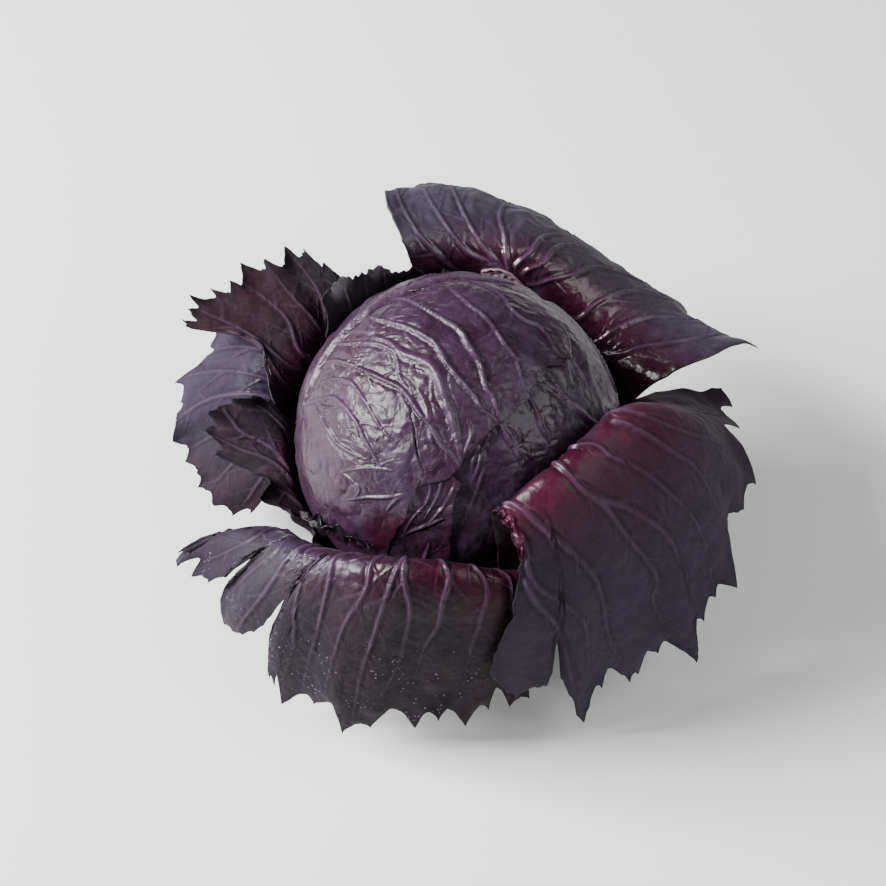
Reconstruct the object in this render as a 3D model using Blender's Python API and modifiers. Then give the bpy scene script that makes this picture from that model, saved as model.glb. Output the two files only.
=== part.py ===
"""Red cabbage head on its cut stem: a tight head wrapped in covering leaves, and seven loose outer
leaves that grow from the stem, hug the head and then lean or flop outwards.

Metres, +Z up. The origin is the middle of the cut stem's flat face, on which the cabbage rests.
"""

import bpy
import bmesh
import numpy as np

MM = 0.001
NAME = "red_cabbage_head"

# Driving dimensions
HEAD_RADIUS = 0.075          # outside of the tight head
HEAD_HEIGHT = 0.093          # middle of the head above the cut face
CORE_RADIUS = 0.0720         # the ball that the covering leaves stand out of
CORE_FLAT = 0.0225           # height of the flat under the head, where the stem enters
STEM_RADIUS = 0.017
STEM_LENGTH = 0.0222
STEM_WAIST = 0.0004
STEM_BEVEL = 0.0008
LEAF_CLEARANCE = 0.0003      # between a leaf's base and the stem
BLADE = 0.0010               # thickness of a leaf's blade
MIDRIB = 0.0030              # thickness of a leaf's midrib at its base
MIDRIB_WIDTH = 0.0045
VEIN_HEIGHT = 0.0013         # ridge of a side vein on the upper face
VEIN_WIDTH = 0.0032
FLOOR_CLEARANCE = 0.0022     # the lowest that a drooping tip comes
COVER_DEPTH = 0.0030         # how deep a covering leaf's solid goes into the head
COVER_SPOKES = 30
RIB_RADIUS = 0.0013          # half thickness of a side rib on the head, where it leaves the midrib
RIB_SINK = 0.0005            # depth of a rib's middle under the leaf's face
RIB_TAPER = 0.6
RIB_STEPS = 9
WELD = 0.00001               # points closer than this are one
CORE_SEGMENTS = 32
CORE_RINGS = 16
STEM_STEPS = 32

HEAD_COLOUR = (0.030, 0.010, 0.026)
LEAF_COLOUR = (0.020, 0.008, 0.018)
STEM_COLOUR = (0.55, 0.50, 0.42)
HEAD_ROUGHNESS = 0.38
LEAF_ROUGHNESS = 0.42
STEM_ROUGHNESS = 0.6

# The grid of a leaf: rows from stem to margin, in three bands with 1, 2 and 4 times the columns
ROWS = (5, 5, 3)
BEND_WEIGHT = 0.022          # metres of length that one radian of bend counts for when rows are spread
LINE_STEPS = 60
SMALL_STEP = 0.004           # share of a leaf's length or width over which its slopes are measured
CALM_REACH = 4               # columns to each side that the inner rows look at to stay clear of bays
ROW_INSET = 0.02             # how far the last inner row stays from the deepest of those

# How every leaf spreads, waves and thins
SPREAD_AT_STEM = 0.45        # share of its width that a leaf already has at the stem
SPREAD_DONE = 0.8            # share of the way to the bend where it has its full width
DRIFT_FROM = 0.6             # share of the way to the bend where it starts to lean to its margin's azimuth
RIB_FROM = 0.9               # share of the way to the bend where veins start to stand out
RIB_OVER = 0.35              # share of the free blade over which they reach their height
RUFFLE_FROM = 0.55           # share of the leaf's length where the ruffles begin
RUFFLE_LEAN = 1.5            # radians that the waves shift from stem to margin
RUFFLE_SECOND = (0.4, 2.3, 2.0)    # height, pitch and phase of a second wave beside the first
TOOTH_POWER = 0.8            # below 1, tips are sharp and bays round
MIDRIB_THINNING = 0.75       # share of its thickness that the midrib loses up to the margin
MIDRIB_GAP = 2.5             # mm; a leaf closer to the head than this has no room for a thick midrib
FLOOR_SOFT = 0.002           # height over which a tip that nears the floor is turned level

# Each leaf has five stations across it, from its clockwise side to its other side, seen from above.
# turn is the azimuth in degrees where a station leaves the head, leave the elevation there, out the
# azimuth of its margin, radius and height the margin's place in mm, and arch the reach of the bend.
# gap is the leaf's distance from the head in mm, flare how far that grows on the way up, fall and
# droop the length and the angle of the last stretch, and bow how many degrees the blade bows round
# between bend and margin. ruffle is a height in mm, a number of waves and a phase.
# margin lists tips and bays in turn: place across from -1 to 1, and mm short of the outline.
LEAVES = {
    "leaf_front": dict(
        gap=9.0, flare=1.0, arch=(0.25, 0.42, 0.24, 0.15, 0.1), fall=(0.61, 0.94, 1.11, 1.2, 1.2),
        droop=(76, 90.5, 91.5, 93, 94), turn=(214, 231, 251, 270, 288), leave=(-14, -2, 10.5, 14, 9),
        out=(195, 215, 240, 262, 288), bow=(0, 0, 0, 0, 0), radius=(137, 128, 120, 108, 98),
        height=(38, 16, 8, 8, 11), ruffle=(2.0, 3.5, 0.3), columns=57,
        margin=((-1, 31), (-0.985, 19), (-0.97, 25), (-0.955, 9.5), (-0.9, 29), (-0.868, 17),
                (-0.76, 31), (-0.7, 46), (-0.686, 73), (-0.672, 44), (-0.655, 33), (-0.63, 27),
                (-0.605, 15), (-0.52, 24), (-0.446, 34), (-0.39, 45), (-0.355, 56), (-0.338, 66),
                (-0.318, 81), (-0.303, 55), (-0.29, 18), (-0.27, 23), (-0.255, 16), (-0.24, 29),
                (-0.22, 3), (-0.115, 19), (-0.08, 12.5), (0.02, 27.5), (0.072, 2), (0.17, 16),
                (0.215, 12), (0.313, 31.5), (0.442, 10), (0.502, 31), (0.551, 22), (0.588, 33),
                (0.677, 11.5), (0.744, 26), (0.793, 16), (0.826, 34), (0.902, 9.5), (0.956, 18),
                (1, 12))),
    "leaf_right": dict(
        gap=4.0, flare=1.0, arch=(0.17, 0.14, 0.27, 0.43, 0.24), fall=(1.14, 1.21, 1.11, 0.98, 0.34),
        droop=(85, 85, 84.5, 84, 73), turn=(282, 302.5, 322, 345, 378), leave=(28, 34, 32.5, 20.5, -10),
        out=(274, 302, 326, 350, 378), bow=(8.7, 1.6, 0, 0, 0), radius=(113, 116, 131, 141, 133),
        height=(43, 10, 15, 30, 69), ruffle=(2.5, 3.0, 1.0), columns=57,
        margin=((-1, 28), (-0.93, 22), (-0.853, 15.5), (-0.806, 24), (-0.737, 28.5), (-0.718, 37),
                (-0.7, 57), (-0.682, 36), (-0.64, 25), (-0.595, 8), (-0.56, 1), (-0.54, 14),
                (-0.522, 25), (-0.5, 29.5), (-0.473, 25), (-0.435, 36), (-0.317, 14), (-0.288, 18.5),
                (-0.264, 14.5), (-0.215, 29.5), (-0.17, 25), (-0.143, 32.5), (-0.008, 4), (0.012, 36),
                (0.043, 31), (0.085, 44.5), (0.115, 41.5), (0.14, 48), (0.237, 30.5), (0.301, 65),
                (0.482, 44), (0.542, 49.5), (0.6, 34.5), (0.7, 53.5), (0.82, 21.5), (0.875, 24),
                (0.944, 5), (1, 9))),
    "leaf_back_right": dict(
        gap=7.0, flare=1.0, arch=(0.36, 0.39, 0.49, 0.51, 0.59), fall=(0.7, 0.69, 0.69, 0.69, 0.69),
        droop=(75, 72, 72, 72, 71.5), turn=(18, 43, 64, 84, 106), leave=(-14, -7, 8.5, 11, 14),
        out=(23.5, 41, 63, 86, 106.5), bow=(-2.4, 0.3, 0, 0, 2.3), radius=(153.5, 144, 141, 143.5, 124.5),
        height=(69, 61, 69.5, 91, 122.5), ruffle=(3.0, 3.5, 0.5), columns=49,
        margin=((-1, 6), (-0.96, 14), (-0.92, 21), (-0.86, 1), (-0.78, 15), (-0.7, 4), (-0.62, 17),
                (-0.52, 2), (-0.45, 13), (-0.36, 6), (-0.24, 20), (-0.12, 1), (-0.04, 12),
                (0.06, 5), (0.17, 21), (0.3, 2), (0.38, 13), (0.46, 7), (0.58, 18), (0.7, 3),
                (0.78, 12), (0.86, 6), (0.93, 14), (1, 4))),
    "leaf_back": dict(
        gap=2.0, flare=1.0, arch=(0.35, 0.35, 0.35, 0.35, 0.35), fall=(0.3, 0.3, 0.3, 0.3, 0.3),
        droop=(-80, -80, -80, -80, -80), turn=(88, 103, 117, 130, 144), leave=(10, 15, 15, 15, 10),
        out=(92, 104, 118, 130, 140), bow=(0, 0, 0, 0, 0), radius=(77, 72, 72, 77, 82),
        height=(118, 130, 139, 137, 128), ruffle=(0.6, 2.0, 0.0), columns=33,
        margin=((-1, 4), (-0.82, 1.5), (-0.6, 3.5), (-0.4, 1), (-0.18, 3), (0.1, 1.2), (0.36, 3.6),
                (0.6, 1), (0.82, 3), (1, 2))),
    "leaf_back_left": dict(
        gap=6.5, flare=2.0, arch=(0.3, 0.3, 0.3, 0.3, 0.69), fall=(0.4, 0.4, 0.4, 0.4, 0.4),
        droop=(-35, -35, -35, -35, -35), turn=(118, 130, 142, 155, 175), leave=(15, 10, 5, -5, -12),
        out=(121, 130, 139, 150, 156), bow=(0, 0, 0, 0, -7), radius=(88, 102, 119, 138, 146.5),
        height=(130, 135, 132, 119, 103), ruffle=(2.0, 3.0, 0.0), columns=49,
        margin=((-1, 27), (-0.815, 17), (-0.675, 21), (-0.47, 9), (-0.41, 12), (-0.33, 3), (-0.26, 7),
                (-0.17, 1), (-0.03, 11), (0.043, 5), (0.115, 9), (0.195, 2), (0.295, 12), (0.325, 7),
                (0.404, 13), (0.506, 4), (0.553, 9), (0.653, 0), (0.722, 7), (0.782, 3), (0.86, 9),
                (0.93, 4), (1, 8))),
    "leaf_left_low": dict(
        gap=10.5, flare=2.0, arch=(0.5, 0.42, 0.35, 0.3, 0.25), fall=(0.5, 0.5, 0.5, 0.5, 0.5),
        droop=(60, 60, 60, 60, 60), turn=(130, 145, 158, 170, 183), leave=(-2, -5, -12, -20, -25),
        out=(140, 151, 160, 169, 181), bow=(0, 0, 0, 0, 0), radius=(125, 138, 146, 138, 104),
        height=(85, 72, 55, 25, 22), ruffle=(2.0, 3.0, 1.0), columns=49,
        margin=((-1, 9), (-0.86, 2), (-0.75, 8), (-0.65, 1), (-0.56, 8), (-0.49, 5), (-0.41, 11),
                (-0.34, 6), (-0.22, 14), (-0.11, 0), (-0.04, 10), (0.07, 5), (0.12, 9), (0.15, 6),
                (0.2, 10), (0.31, 5), (0.4, 13), (0.47, 9), (0.57, 17), (0.66, 9), (0.73, 14),
                (0.8, 8), (0.86, 11), (0.92, 4), (0.97, 14), (1, 10))),
    "leaf_left": dict(
        gap=1.5, flare=2.0, arch=(0.3, 0.3, 0.3, 0.3, 0.3), fall=(0.4, 0.4, 0.4, 0.4, 0.4),
        droop=(-30, -30, -30, -30, -30), turn=(170, 184, 198, 213, 233), leave=(-5, -8, -12, -15, -12),
        out=(169, 174, 181, 201, 232), bow=(0, 0, 0, 0, 0), radius=(100, 116, 113, 94, 80),
        height=(104, 97, 88, 85, 87), ruffle=(1.2, 3.0, 0.5), columns=33,
        margin=((-1, 5), (-0.85, 1), (-0.68, 4.5), (-0.5, 0.5), (-0.36, 4), (-0.2, 1), (-0.08, 5),
                (0.03, 1), (0.13, 14), (0.18, 12), (0.25, 15), (0.42, 2), (0.52, 6), (0.62, 2),
                (0.72, 5.5), (0.83, 2), (0.92, 4), (1, 3))),
}

# Covering leaves of the head, uppermost first. base is the azimuth and elevation in degrees of the
# place they are drawn round, and reach is their margin's distance from it, in degrees, at bearings
# in degrees clockwise from the way up. skin is the radius of their outer face in mm.
COVERS = {
    "top": dict(base=(187, 18), skin=74.4, rings=8,
                bearing=(0, 17, 28, 39, 48, 53, 66, 91, 120, 150, 180, 210, 240, 270, 300, 325, 347),
                reach=(107, 96, 87, 78, 75, 62, 59, 58, 60, 70, 85, 85, 82, 82, 95, 108, 117)),
    "front": dict(base=(262, 12), skin=73.7, rings=5, bearing=(0, 25, 60, 100, 140, 180, 220, 260, 300, 335),
                  reach=(35, 30, 22, 26, 45, 70, 45, 28, 26, 30)),
    "right": dict(base=(338, 22), skin=73.2, rings=5, bearing=(0, 40, 90, 140, 180, 220, 270, 310, 335),
                  reach=(52, 58, 62, 75, 85, 75, 48, 44, 50)),
    "back": dict(base=(70, 15), skin=72.8, rings=5, bearing=(0, 45, 90, 135, 180, 225, 270, 315),
                 reach=(52, 58, 60, 72, 80, 72, 60, 55)),
}
COVER_WAVES = (9, 0.035)     # waves round a covering leaf's margin, and their share of its reach

# Ribs of the uppermost covering leaf. The midrib runs from its base towards the back, and each side
# rib leaves it at a distance in degrees and sweeps round to a bearing and distance.
MIDRIB_BEARING = -38
MIDRIB_REACH = (4, 96)
MIDRIB_TO_SIDE = 1.3         # how much thicker the midrib is than a side rib
RIB_SWEEP = 0.8              # below 1, a side rib turns away from the midrib early on
SIDE_RIBS = ((20, 52, 70), (34, 34, 81), (50, 28, 84), (65, 21, 91), (80, 6, 105), (8, 60, 46))
LEFT_RIBS = ((22, -120, 66), (42, -100, 72), (62, -78, 84))


def clear_scene():
    for item in list(bpy.data.objects):
        bpy.data.objects.remove(item, do_unlink=True)


def new_collection(name):
    collection = bpy.data.collections.new(name)
    bpy.context.scene.collection.children.link(collection)
    return collection


def skin_material(name, colour, roughness):
    material = bpy.data.materials.new(name)
    material.use_nodes = True
    shader = material.node_tree.nodes["Principled BSDF"]
    shader.inputs["Base Color"].default_value = (*colour, 1)
    shader.inputs["Roughness"].default_value = roughness
    shader.inputs["Metallic"].default_value = 0
    return material


def mesh_object(name, points, faces, collection, material=None):
    mesh = bpy.data.meshes.new(name)
    mesh.from_pydata(np.asarray(points).tolist(), [], [list(map(int, face)) for face in faces])
    mesh.validate()
    item = bpy.data.objects.new(name, mesh)
    collection.objects.link(item)
    if material:
        mesh.materials.append(material)
    return item


def smoothstep(x):
    x = np.clip(x, 0, 1)
    return x * x * (3 - 2 * x)


def through(values, x):
    """A smooth line through evenly spaced values, read at x from -1 to 1."""
    values = np.asarray(values, float)
    slope = np.gradient(values)
    place = (np.clip(x, -1, 1) + 1) / 2 * (len(values) - 1)
    i = np.minimum(place.astype(int), len(values) - 2)
    f = place - i
    return ((2 * f**3 - 3 * f**2 + 1) * values[i] + (f**3 - 2 * f**2 + f) * slope[i]
            + (3 * f**2 - 2 * f**3) * values[i + 1] + (f**3 - f**2) * slope[i + 1])


def bezier(p0, p1, p2, p3, b):
    return (1 - b)**3 * p0 + 3 * (1 - b)**2 * b * p1 + 3 * (1 - b) * b**2 * p2 + b**3 * p3


def leaf_lines(leaf, t):
    """Radius and height down each column t: an arc that hugs the head, then a curve to the margin.

    Also gives the length run so far, a measure that grows faster round bends, and the turning row.
    """
    ball = HEAD_RADIUS + leaf["gap"] * MM
    leave = np.radians(through(leaf["leave"], t))
    start = np.arcsin((STEM_RADIUS + LEAF_CLEARANCE) / ball) - np.pi / 2
    share = np.linspace(0, 1, LINE_STEPS)[:, None]
    angle = start + (leave - start) * share
    reach = ball + leaf["flare"] * MM * share**2
    arc = np.stack([reach * np.cos(angle), HEAD_HEIGHT + reach * np.sin(angle)])
    way = arc[:, -1] - arc[:, -2]
    way = way / np.linalg.norm(way, axis=0)
    margin = np.stack([through(leaf["radius"], t), through(leaf["height"], t)]) * MM
    far = np.linalg.norm(margin - arc[:, -1], axis=0)
    droop = np.radians(through(leaf["droop"], t))
    drop = np.stack([np.cos(droop), -np.sin(droop)])
    b = np.linspace(0, 1, 2 * LINE_STEPS)[1:, None]
    curve = bezier(arc[:, None, -1], (arc[:, -1] + through(leaf["arch"], t) * far * way)[:, None],
                   (margin - through(leaf["fall"], t) * far * drop)[:, None], margin[:, None], b)
    line = np.concatenate([arc, curve], axis=1)
    step = np.diff(line, axis=1)
    run = np.linalg.norm(step, axis=0)
    heading = np.unwrap(np.arctan2(step[1], step[0]), axis=0)
    bend = np.abs(np.diff(heading, axis=0, prepend=heading[:1]))
    zero = np.zeros((1, len(t)))
    length = np.concatenate([zero, np.cumsum(run, axis=0)])
    measure = np.concatenate([zero, np.cumsum(run + BEND_WEIGHT * bend, axis=0)])
    return line, length, measure / measure[-1], LINE_STEPS - 1


def by_column(s, knots, values):
    """Values read at s in each column, where knots are the places of the values in that column."""
    return np.stack([np.interp(s[:, j], knots[:, j], values[:, j]) for j in range(s.shape[1])], 1)


def leaf_sheet(leaf, s, t):
    """The smooth leaf at rows s (0 at the stem, 1 at the outline) of columns t, as points."""
    line, _, share, turn = leaf_lines(leaf, t)
    rho = by_column(s, share, line[0])
    height = by_column(s, share, line[1])
    at_turn = share[turn]
    middle = through(leaf["turn"], np.zeros(1))[0]
    turned = through(leaf["turn"], t)
    out = through(leaf["out"], t)
    spread = SPREAD_AT_STEM + (1 - SPREAD_AT_STEM) * smoothstep(s / (SPREAD_DONE * at_turn))
    drift = smoothstep((s - DRIFT_FROM * at_turn) / (1 - DRIFT_FROM * at_turn))
    bow = np.sin(np.pi * np.clip((s - at_turn) / (1 - at_turn), 0, 1))**2
    azimuth = np.radians(middle + (turned - middle) * spread + (out - turned) * drift
                         + through(leaf["bow"], t) * bow)
    return np.stack([rho * np.cos(azimuth), rho * np.sin(azimuth), height], -1)


def rib_fade(leaf, s, t):
    """0 where the leaf hugs the head, 1 out on its free blade."""
    share, turn = leaf_lines(leaf, t)[2:]
    return smoothstep((s - RIB_FROM * share[turn]) / (RIB_OVER * (1 - share[turn])))


def vein_places(leaf):
    """Places across where the side veins end: the tips of the margin that stand out most."""
    margin = leaf["margin"]
    tips = [margin[i] for i in range(1, len(margin) - 1)
            if margin[i][1] < margin[i - 1][1] and margin[i][1] < margin[i + 1][1]]
    return [place for place, _ in tips][::2]


def blade_points(leaf, s, t):
    """The leaf with its ruffles and veins: the smooth sheet moved along its own normal."""
    t_grid = np.broadcast_to(t, s.shape)
    point = leaf_sheet(leaf, s, t)
    along = leaf_sheet(leaf, s + SMALL_STEP, t) - leaf_sheet(leaf, s - SMALL_STEP, t)
    across = leaf_sheet(leaf, s, t + SMALL_STEP) - leaf_sheet(leaf, s, t - SMALL_STEP)
    normal = np.cross(across, along)
    normal /= np.linalg.norm(normal, axis=-1)[..., None]
    free = rib_fade(leaf, s, t)
    tall, waves, phase = leaf["ruffle"]
    share, pitch, shift = RUFFLE_SECOND
    swing = np.pi * waves * t_grid + phase
    ruffle = tall * MM * (smoothstep((s - RUFFLE_FROM) / (1 - RUFFLE_FROM)) * free
                          * (np.cos(swing + RUFFLE_LEAN * s) + share * np.cos(pitch * swing + shift)))
    width = np.linalg.norm(across, axis=-1) / (2 * SMALL_STEP)
    ridge = np.zeros_like(s)
    for place in vein_places(leaf):
        away = np.abs(t_grid - place) * width
        ridge = np.maximum(ridge, np.exp(-(away / VEIN_WIDTH)**2))
    moved = point + normal * (ruffle - VEIN_HEIGHT * ridge * free)[..., None]
    low = moved[..., 2]
    moved[..., 2] = FLOOR_CLEARANCE + FLOOR_SOFT * np.logaddexp(0, (low - FLOOR_CLEARANCE) / FLOOR_SOFT)
    return moved


def margin_short(margin, t):
    """How far short of the outline the margin is at t, in metres: sharp at tips, round in bays."""
    places = np.array([place for place, _ in margin])
    short = np.array([depth for _, depth in margin], float)
    i = np.clip(np.searchsorted(places, t, side="right") - 1, 0, len(places) - 2)
    x = (t - places[i]) / (places[i + 1] - places[i])
    from_tip = np.where(short[i] < short[i + 1], x, 1 - x)
    tip = np.minimum(short[i], short[i + 1])
    bay = np.maximum(short[i], short[i + 1])
    return (tip + (bay - tip) * np.sin(np.pi / 2 * from_tip)**TOOTH_POWER) * MM


def leaf_columns(leaf):
    """Places of the columns: every tip and bay, and then the middles of the widest spaces."""
    places = [place for place, _ in leaf["margin"]]
    while len(places) < leaf["columns"]:
        widest = int(np.argmax(np.diff(places)))
        places.insert(widest + 1, (places[widest] + places[widest + 1]) / 2)
    return np.array(places, float)


def leaf_rows(leaf, t):
    """Rows in each column, the last on the toothed margin; those before lie clear of its bays."""
    _, length, share, _ = leaf_lines(leaf, t)
    cut = length[-1] - margin_short(leaf["margin"], t)
    edge = by_column(cut[None], length, share)[0]
    window = range(2 * CALM_REACH + 1)
    padded = np.pad(edge, CALM_REACH, mode="edge")
    lowest = np.min([padded[k:k + len(edge)] for k in window], axis=0)
    padded = np.pad(lowest, CALM_REACH, mode="edge")
    calm = np.mean([padded[k:k + len(edge)] for k in window], axis=0)
    inner = np.minimum(calm, edge) - ROW_INSET
    steps = np.linspace(0, 1, sum(ROWS))[:, None]
    return np.concatenate([steps * inner, edge[None]])


def leaf_faces(counts):
    """Triangles between rows of points, where the next row has as many points or twice the spaces."""
    starts = np.concatenate([[0], np.cumsum(counts)])
    faces = []
    for row in range(len(counts) - 1):
        low, high = starts[row], starts[row + 1]
        spaces = counts[row] - 1
        if counts[row + 1] == counts[row]:
            for j in range(spaces):
                if (row + j) % 2:
                    faces += [(low + j, low + j + 1, high + j + 1), (low + j, high + j + 1, high + j)]
                else:
                    faces += [(low + j, low + j + 1, high + j), (low + j + 1, high + j + 1, high + j)]
        else:
            for j in range(spaces):
                faces += [(low + j, high + 2 * j + 1, high + 2 * j),
                          (low + j, low + j + 1, high + 2 * j + 1),
                          (low + j + 1, high + 2 * j + 2, high + 2 * j + 1)]
    return faces


def make_leaf(name, leaf, collection, material):
    t = leaf_columns(leaf)
    s = leaf_rows(leaf, t)
    points = blade_points(leaf, s, t)
    width = np.linalg.norm(np.diff(points, axis=1), axis=-1)
    walk = np.concatenate([np.zeros((len(s), 1)), np.cumsum(width, axis=1)], axis=1)
    middle = np.stack([np.interp(0, t, row) for row in walk])[:, None]
    ridge = (MIDRIB * (1 - MIDRIB_THINNING * s) - BLADE) * np.exp(-((walk - middle) / MIDRIB_WIDTH)**2)
    thick = BLADE + np.maximum(ridge, 0) * (leaf["gap"] > MIDRIB_GAP)
    steps = np.append(np.repeat((4, 2, 1), ROWS), 1)
    kept_points = np.concatenate([points[row, ::step] for row, step in enumerate(steps)])
    kept_thick = np.concatenate([thick[row, ::step] for row, step in enumerate(steps)])
    counts = [len(t[::step]) for step in steps]
    item = mesh_object(name, kept_points, leaf_faces(counts), collection, material)
    group = item.vertex_groups.new(name="thickness")
    for index, value in enumerate(kept_thick / MIDRIB):
        group.add([index], float(value), "REPLACE")
    solid = item.modifiers.new("thickness", "SOLIDIFY")
    solid.thickness = MIDRIB
    solid.offset = 1
    solid.vertex_group = group.name
    item.data.shade_smooth()
    return item


def on_head(base, bearing, distance, radius):
    """A point at a bearing and distance, in degrees, from a base place on a ball of that radius."""
    azimuth, elevation = np.radians(base)
    way = np.radians(bearing)
    far = np.radians(distance)
    out = np.array([np.cos(azimuth) * np.cos(elevation), np.sin(azimuth) * np.cos(elevation),
                    np.sin(elevation)])
    up = np.array([-np.cos(azimuth) * np.sin(elevation), -np.sin(azimuth) * np.sin(elevation),
                   np.cos(elevation)])
    right = np.array([-np.sin(azimuth), np.cos(azimuth), 0])
    side = np.cos(way)[..., None] * up + np.sin(way)[..., None] * right
    ray = np.cos(far)[..., None] * out + np.sin(far)[..., None] * side
    return ray * np.asarray(radius)[..., None] + np.array([0, 0, HEAD_HEIGHT])


def make_cover(name, cover, collection):
    """A covering leaf: rings of points round its base, thickened inwards into the head."""
    rings = cover["rings"]
    spokes = COVER_SPOKES
    bearing = np.arange(spokes) * 360 / spokes
    reach = np.interp(bearing, cover["bearing"], cover["reach"], period=360)
    count, height = COVER_WAVES
    wave = 1 + height * np.sin(np.radians(bearing) * count + cover["skin"])
    share = (np.arange(1, rings + 1) / rings)[:, None]
    distance = share * (reach * wave)[None]
    radius = np.full_like(distance, cover["skin"] * MM)
    ring_points = on_head(cover["base"], np.broadcast_to(bearing, distance.shape), distance, radius)
    centre = on_head(cover["base"], np.zeros(1), np.zeros(1), np.array([cover["skin"] * MM]))
    points = np.concatenate([centre, ring_points.reshape(-1, 3)])
    faces = []
    for j in range(spokes):
        k = (j + 1) % spokes
        faces.append((0, 1 + k, 1 + j))
        for ring in range(rings - 1):
            a, b = 1 + ring * spokes + j, 1 + ring * spokes + k
            faces += [(a, b, b + spokes), (a, b + spokes, a + spokes)]
    item = mesh_object(name, points, faces, collection)
    solid = item.modifiers.new("depth", "SOLIDIFY")
    solid.thickness = COVER_DEPTH
    solid.offset = -1
    return item


def make_rib(name, bearing, distance, radius, collection):
    """A rib on the uppermost covering leaf: a tapering tube sunk half into its face."""
    cover = COVERS["top"]
    route = on_head(cover["base"], bearing, distance, np.full(len(bearing), cover["skin"] * MM - RIB_SINK))
    curve = bpy.data.curves.new(name, "CURVE")
    curve.dimensions = "3D"
    curve.bevel_depth = radius
    curve.bevel_resolution = 0
    curve.use_fill_caps = True
    spline = curve.splines.new("POLY")
    spline.points.add(len(route) - 1)
    spline.points.foreach_set("co", np.column_stack([route, np.ones(len(route))]).ravel())
    spline.points.foreach_set("radius", np.linspace(1, RIB_TAPER, len(route)))
    guide = bpy.data.objects.new(name + "_guide", curve)
    collection.objects.link(guide)
    bpy.context.view_layer.update()
    mesh = bpy.data.meshes.new_from_object(guide.evaluated_get(bpy.context.evaluated_depsgraph_get()))
    shape = bmesh.new()
    shape.from_mesh(mesh)
    bmesh.ops.remove_doubles(shape, verts=shape.verts, dist=WELD)
    bmesh.ops.triangulate(shape, faces=shape.faces)
    shape.to_mesh(mesh)
    shape.free()
    bpy.data.objects.remove(guide, do_unlink=True)
    item = bpy.data.objects.new(name, mesh)
    collection.objects.link(item)
    return item


def make_head(collection, scrap, material):
    bpy.ops.mesh.primitive_uv_sphere_add(segments=CORE_SEGMENTS, ring_count=CORE_RINGS, radius=CORE_RADIUS,
                                         location=(0, 0, HEAD_HEIGHT))
    core = bpy.context.object
    core.name = "head"
    for owner in list(core.users_collection):
        owner.objects.unlink(core)
    collection.objects.link(core)
    core.data.materials.append(material)
    for name, cover in COVERS.items():
        make_cover("cover_" + name, cover, scrap)
    share = np.linspace(0, 1, RIB_STEPS)
    first, last = MIDRIB_REACH
    make_rib("rib_middle", np.full(RIB_STEPS, float(MIDRIB_BEARING)), first + (last - first) * share,
             RIB_RADIUS * MIDRIB_TO_SIDE, scrap)
    for index, (leave, bearing, distance) in enumerate(SIDE_RIBS + LEFT_RIBS):
        make_rib(f"rib_{index}", MIDRIB_BEARING + (bearing - MIDRIB_BEARING) * share**RIB_SWEEP,
                 leave + (distance - leave) * share, RIB_RADIUS, scrap)
    union = core.modifiers.new("covers", "BOOLEAN")
    union.operation = "UNION"
    union.operand_type = "COLLECTION"
    union.collection = scrap
    union.solver = "MANIFOLD"
    bpy.context.view_layer.update()
    apply_modifier(core, union)
    for item in list(scrap.objects):
        bpy.data.objects.remove(item, do_unlink=True)
    flatten_under_head(core)
    fill_hollows(core)
    core.data.shade_smooth()
    return core


def apply_modifier(item, modifier):
    with bpy.context.temp_override(object=item, active_object=item, selected_objects=[item]):
        bpy.ops.object.modifier_apply(modifier=modifier.name)


def fill_hollows(item):
    """Keep the largest closed surface: the others are walls of hollows that joining sealed."""
    shape = bmesh.new()
    shape.from_mesh(item.data)
    left = set(shape.verts)
    shells = []
    while left:
        shell = []
        front = [left.pop()]
        while front:
            vertex = front.pop()
            shell.append(vertex)
            near = {edge.other_vert(vertex) for edge in vertex.link_edges} & left
            left -= near
            front.extend(near)
        shells.append(shell)
    shells.sort(key=len)
    for shell in shells[:-1]:
        bmesh.ops.delete(shape, geom=shell, context="VERTS")
    shape.to_mesh(item.data)
    shape.free()


def flatten_under_head(core):
    """Cut the head level where the stem enters it."""
    side = 2 * HEAD_RADIUS
    bpy.ops.mesh.primitive_cube_add(size=side, location=(0, 0, CORE_FLAT - side / 2))
    cutter = bpy.context.object
    cutter.name = "under_head_cutter"
    cut = core.modifiers.new("flat", "BOOLEAN")
    cut.operation = "DIFFERENCE"
    cut.object = cutter
    cut.solver = "MANIFOLD"
    bpy.context.view_layer.update()
    apply_modifier(core, cut)
    bpy.data.objects.remove(cutter, do_unlink=True)


def make_stem(collection, material):
    """The cut stump: a turned profile with a slight waist and soft rims."""
    waist = STEM_RADIUS - STEM_WAIST
    profile = [(0, STEM_LENGTH), (STEM_RADIUS - STEM_BEVEL, STEM_LENGTH),
               (STEM_RADIUS, STEM_LENGTH - STEM_BEVEL), (waist, STEM_LENGTH / 2),
               (STEM_RADIUS, STEM_BEVEL), (STEM_RADIUS - STEM_BEVEL, 0), (0, 0)]
    points = [(radius, 0, height) for radius, height in profile]
    mesh = bpy.data.meshes.new("stem")
    mesh.from_pydata(points, [(i, i + 1) for i in range(len(points) - 1)], [])
    item = bpy.data.objects.new("stem", mesh)
    collection.objects.link(item)
    mesh.materials.append(material)
    turn = item.modifiers.new("turn", "SCREW")
    turn.steps = STEM_STEPS
    turn.render_steps = STEM_STEPS
    turn.use_merge_vertices = True
    turn.merge_threshold = WELD
    return item


def build():
    clear_scene()
    parts = new_collection(NAME)
    scrap = new_collection("joined_into_head")
    purple = skin_material("head_skin", HEAD_COLOUR, HEAD_ROUGHNESS)
    leaf_skin = skin_material("leaf_skin", LEAF_COLOUR, LEAF_ROUGHNESS)
    cut_stem = skin_material("stem_flesh", STEM_COLOUR, STEM_ROUGHNESS)
    make_stem(parts, cut_stem)
    make_head(parts, scrap, purple)
    for name, leaf in LEAVES.items():
        make_leaf(name, leaf, parts, leaf_skin)


build()
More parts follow.
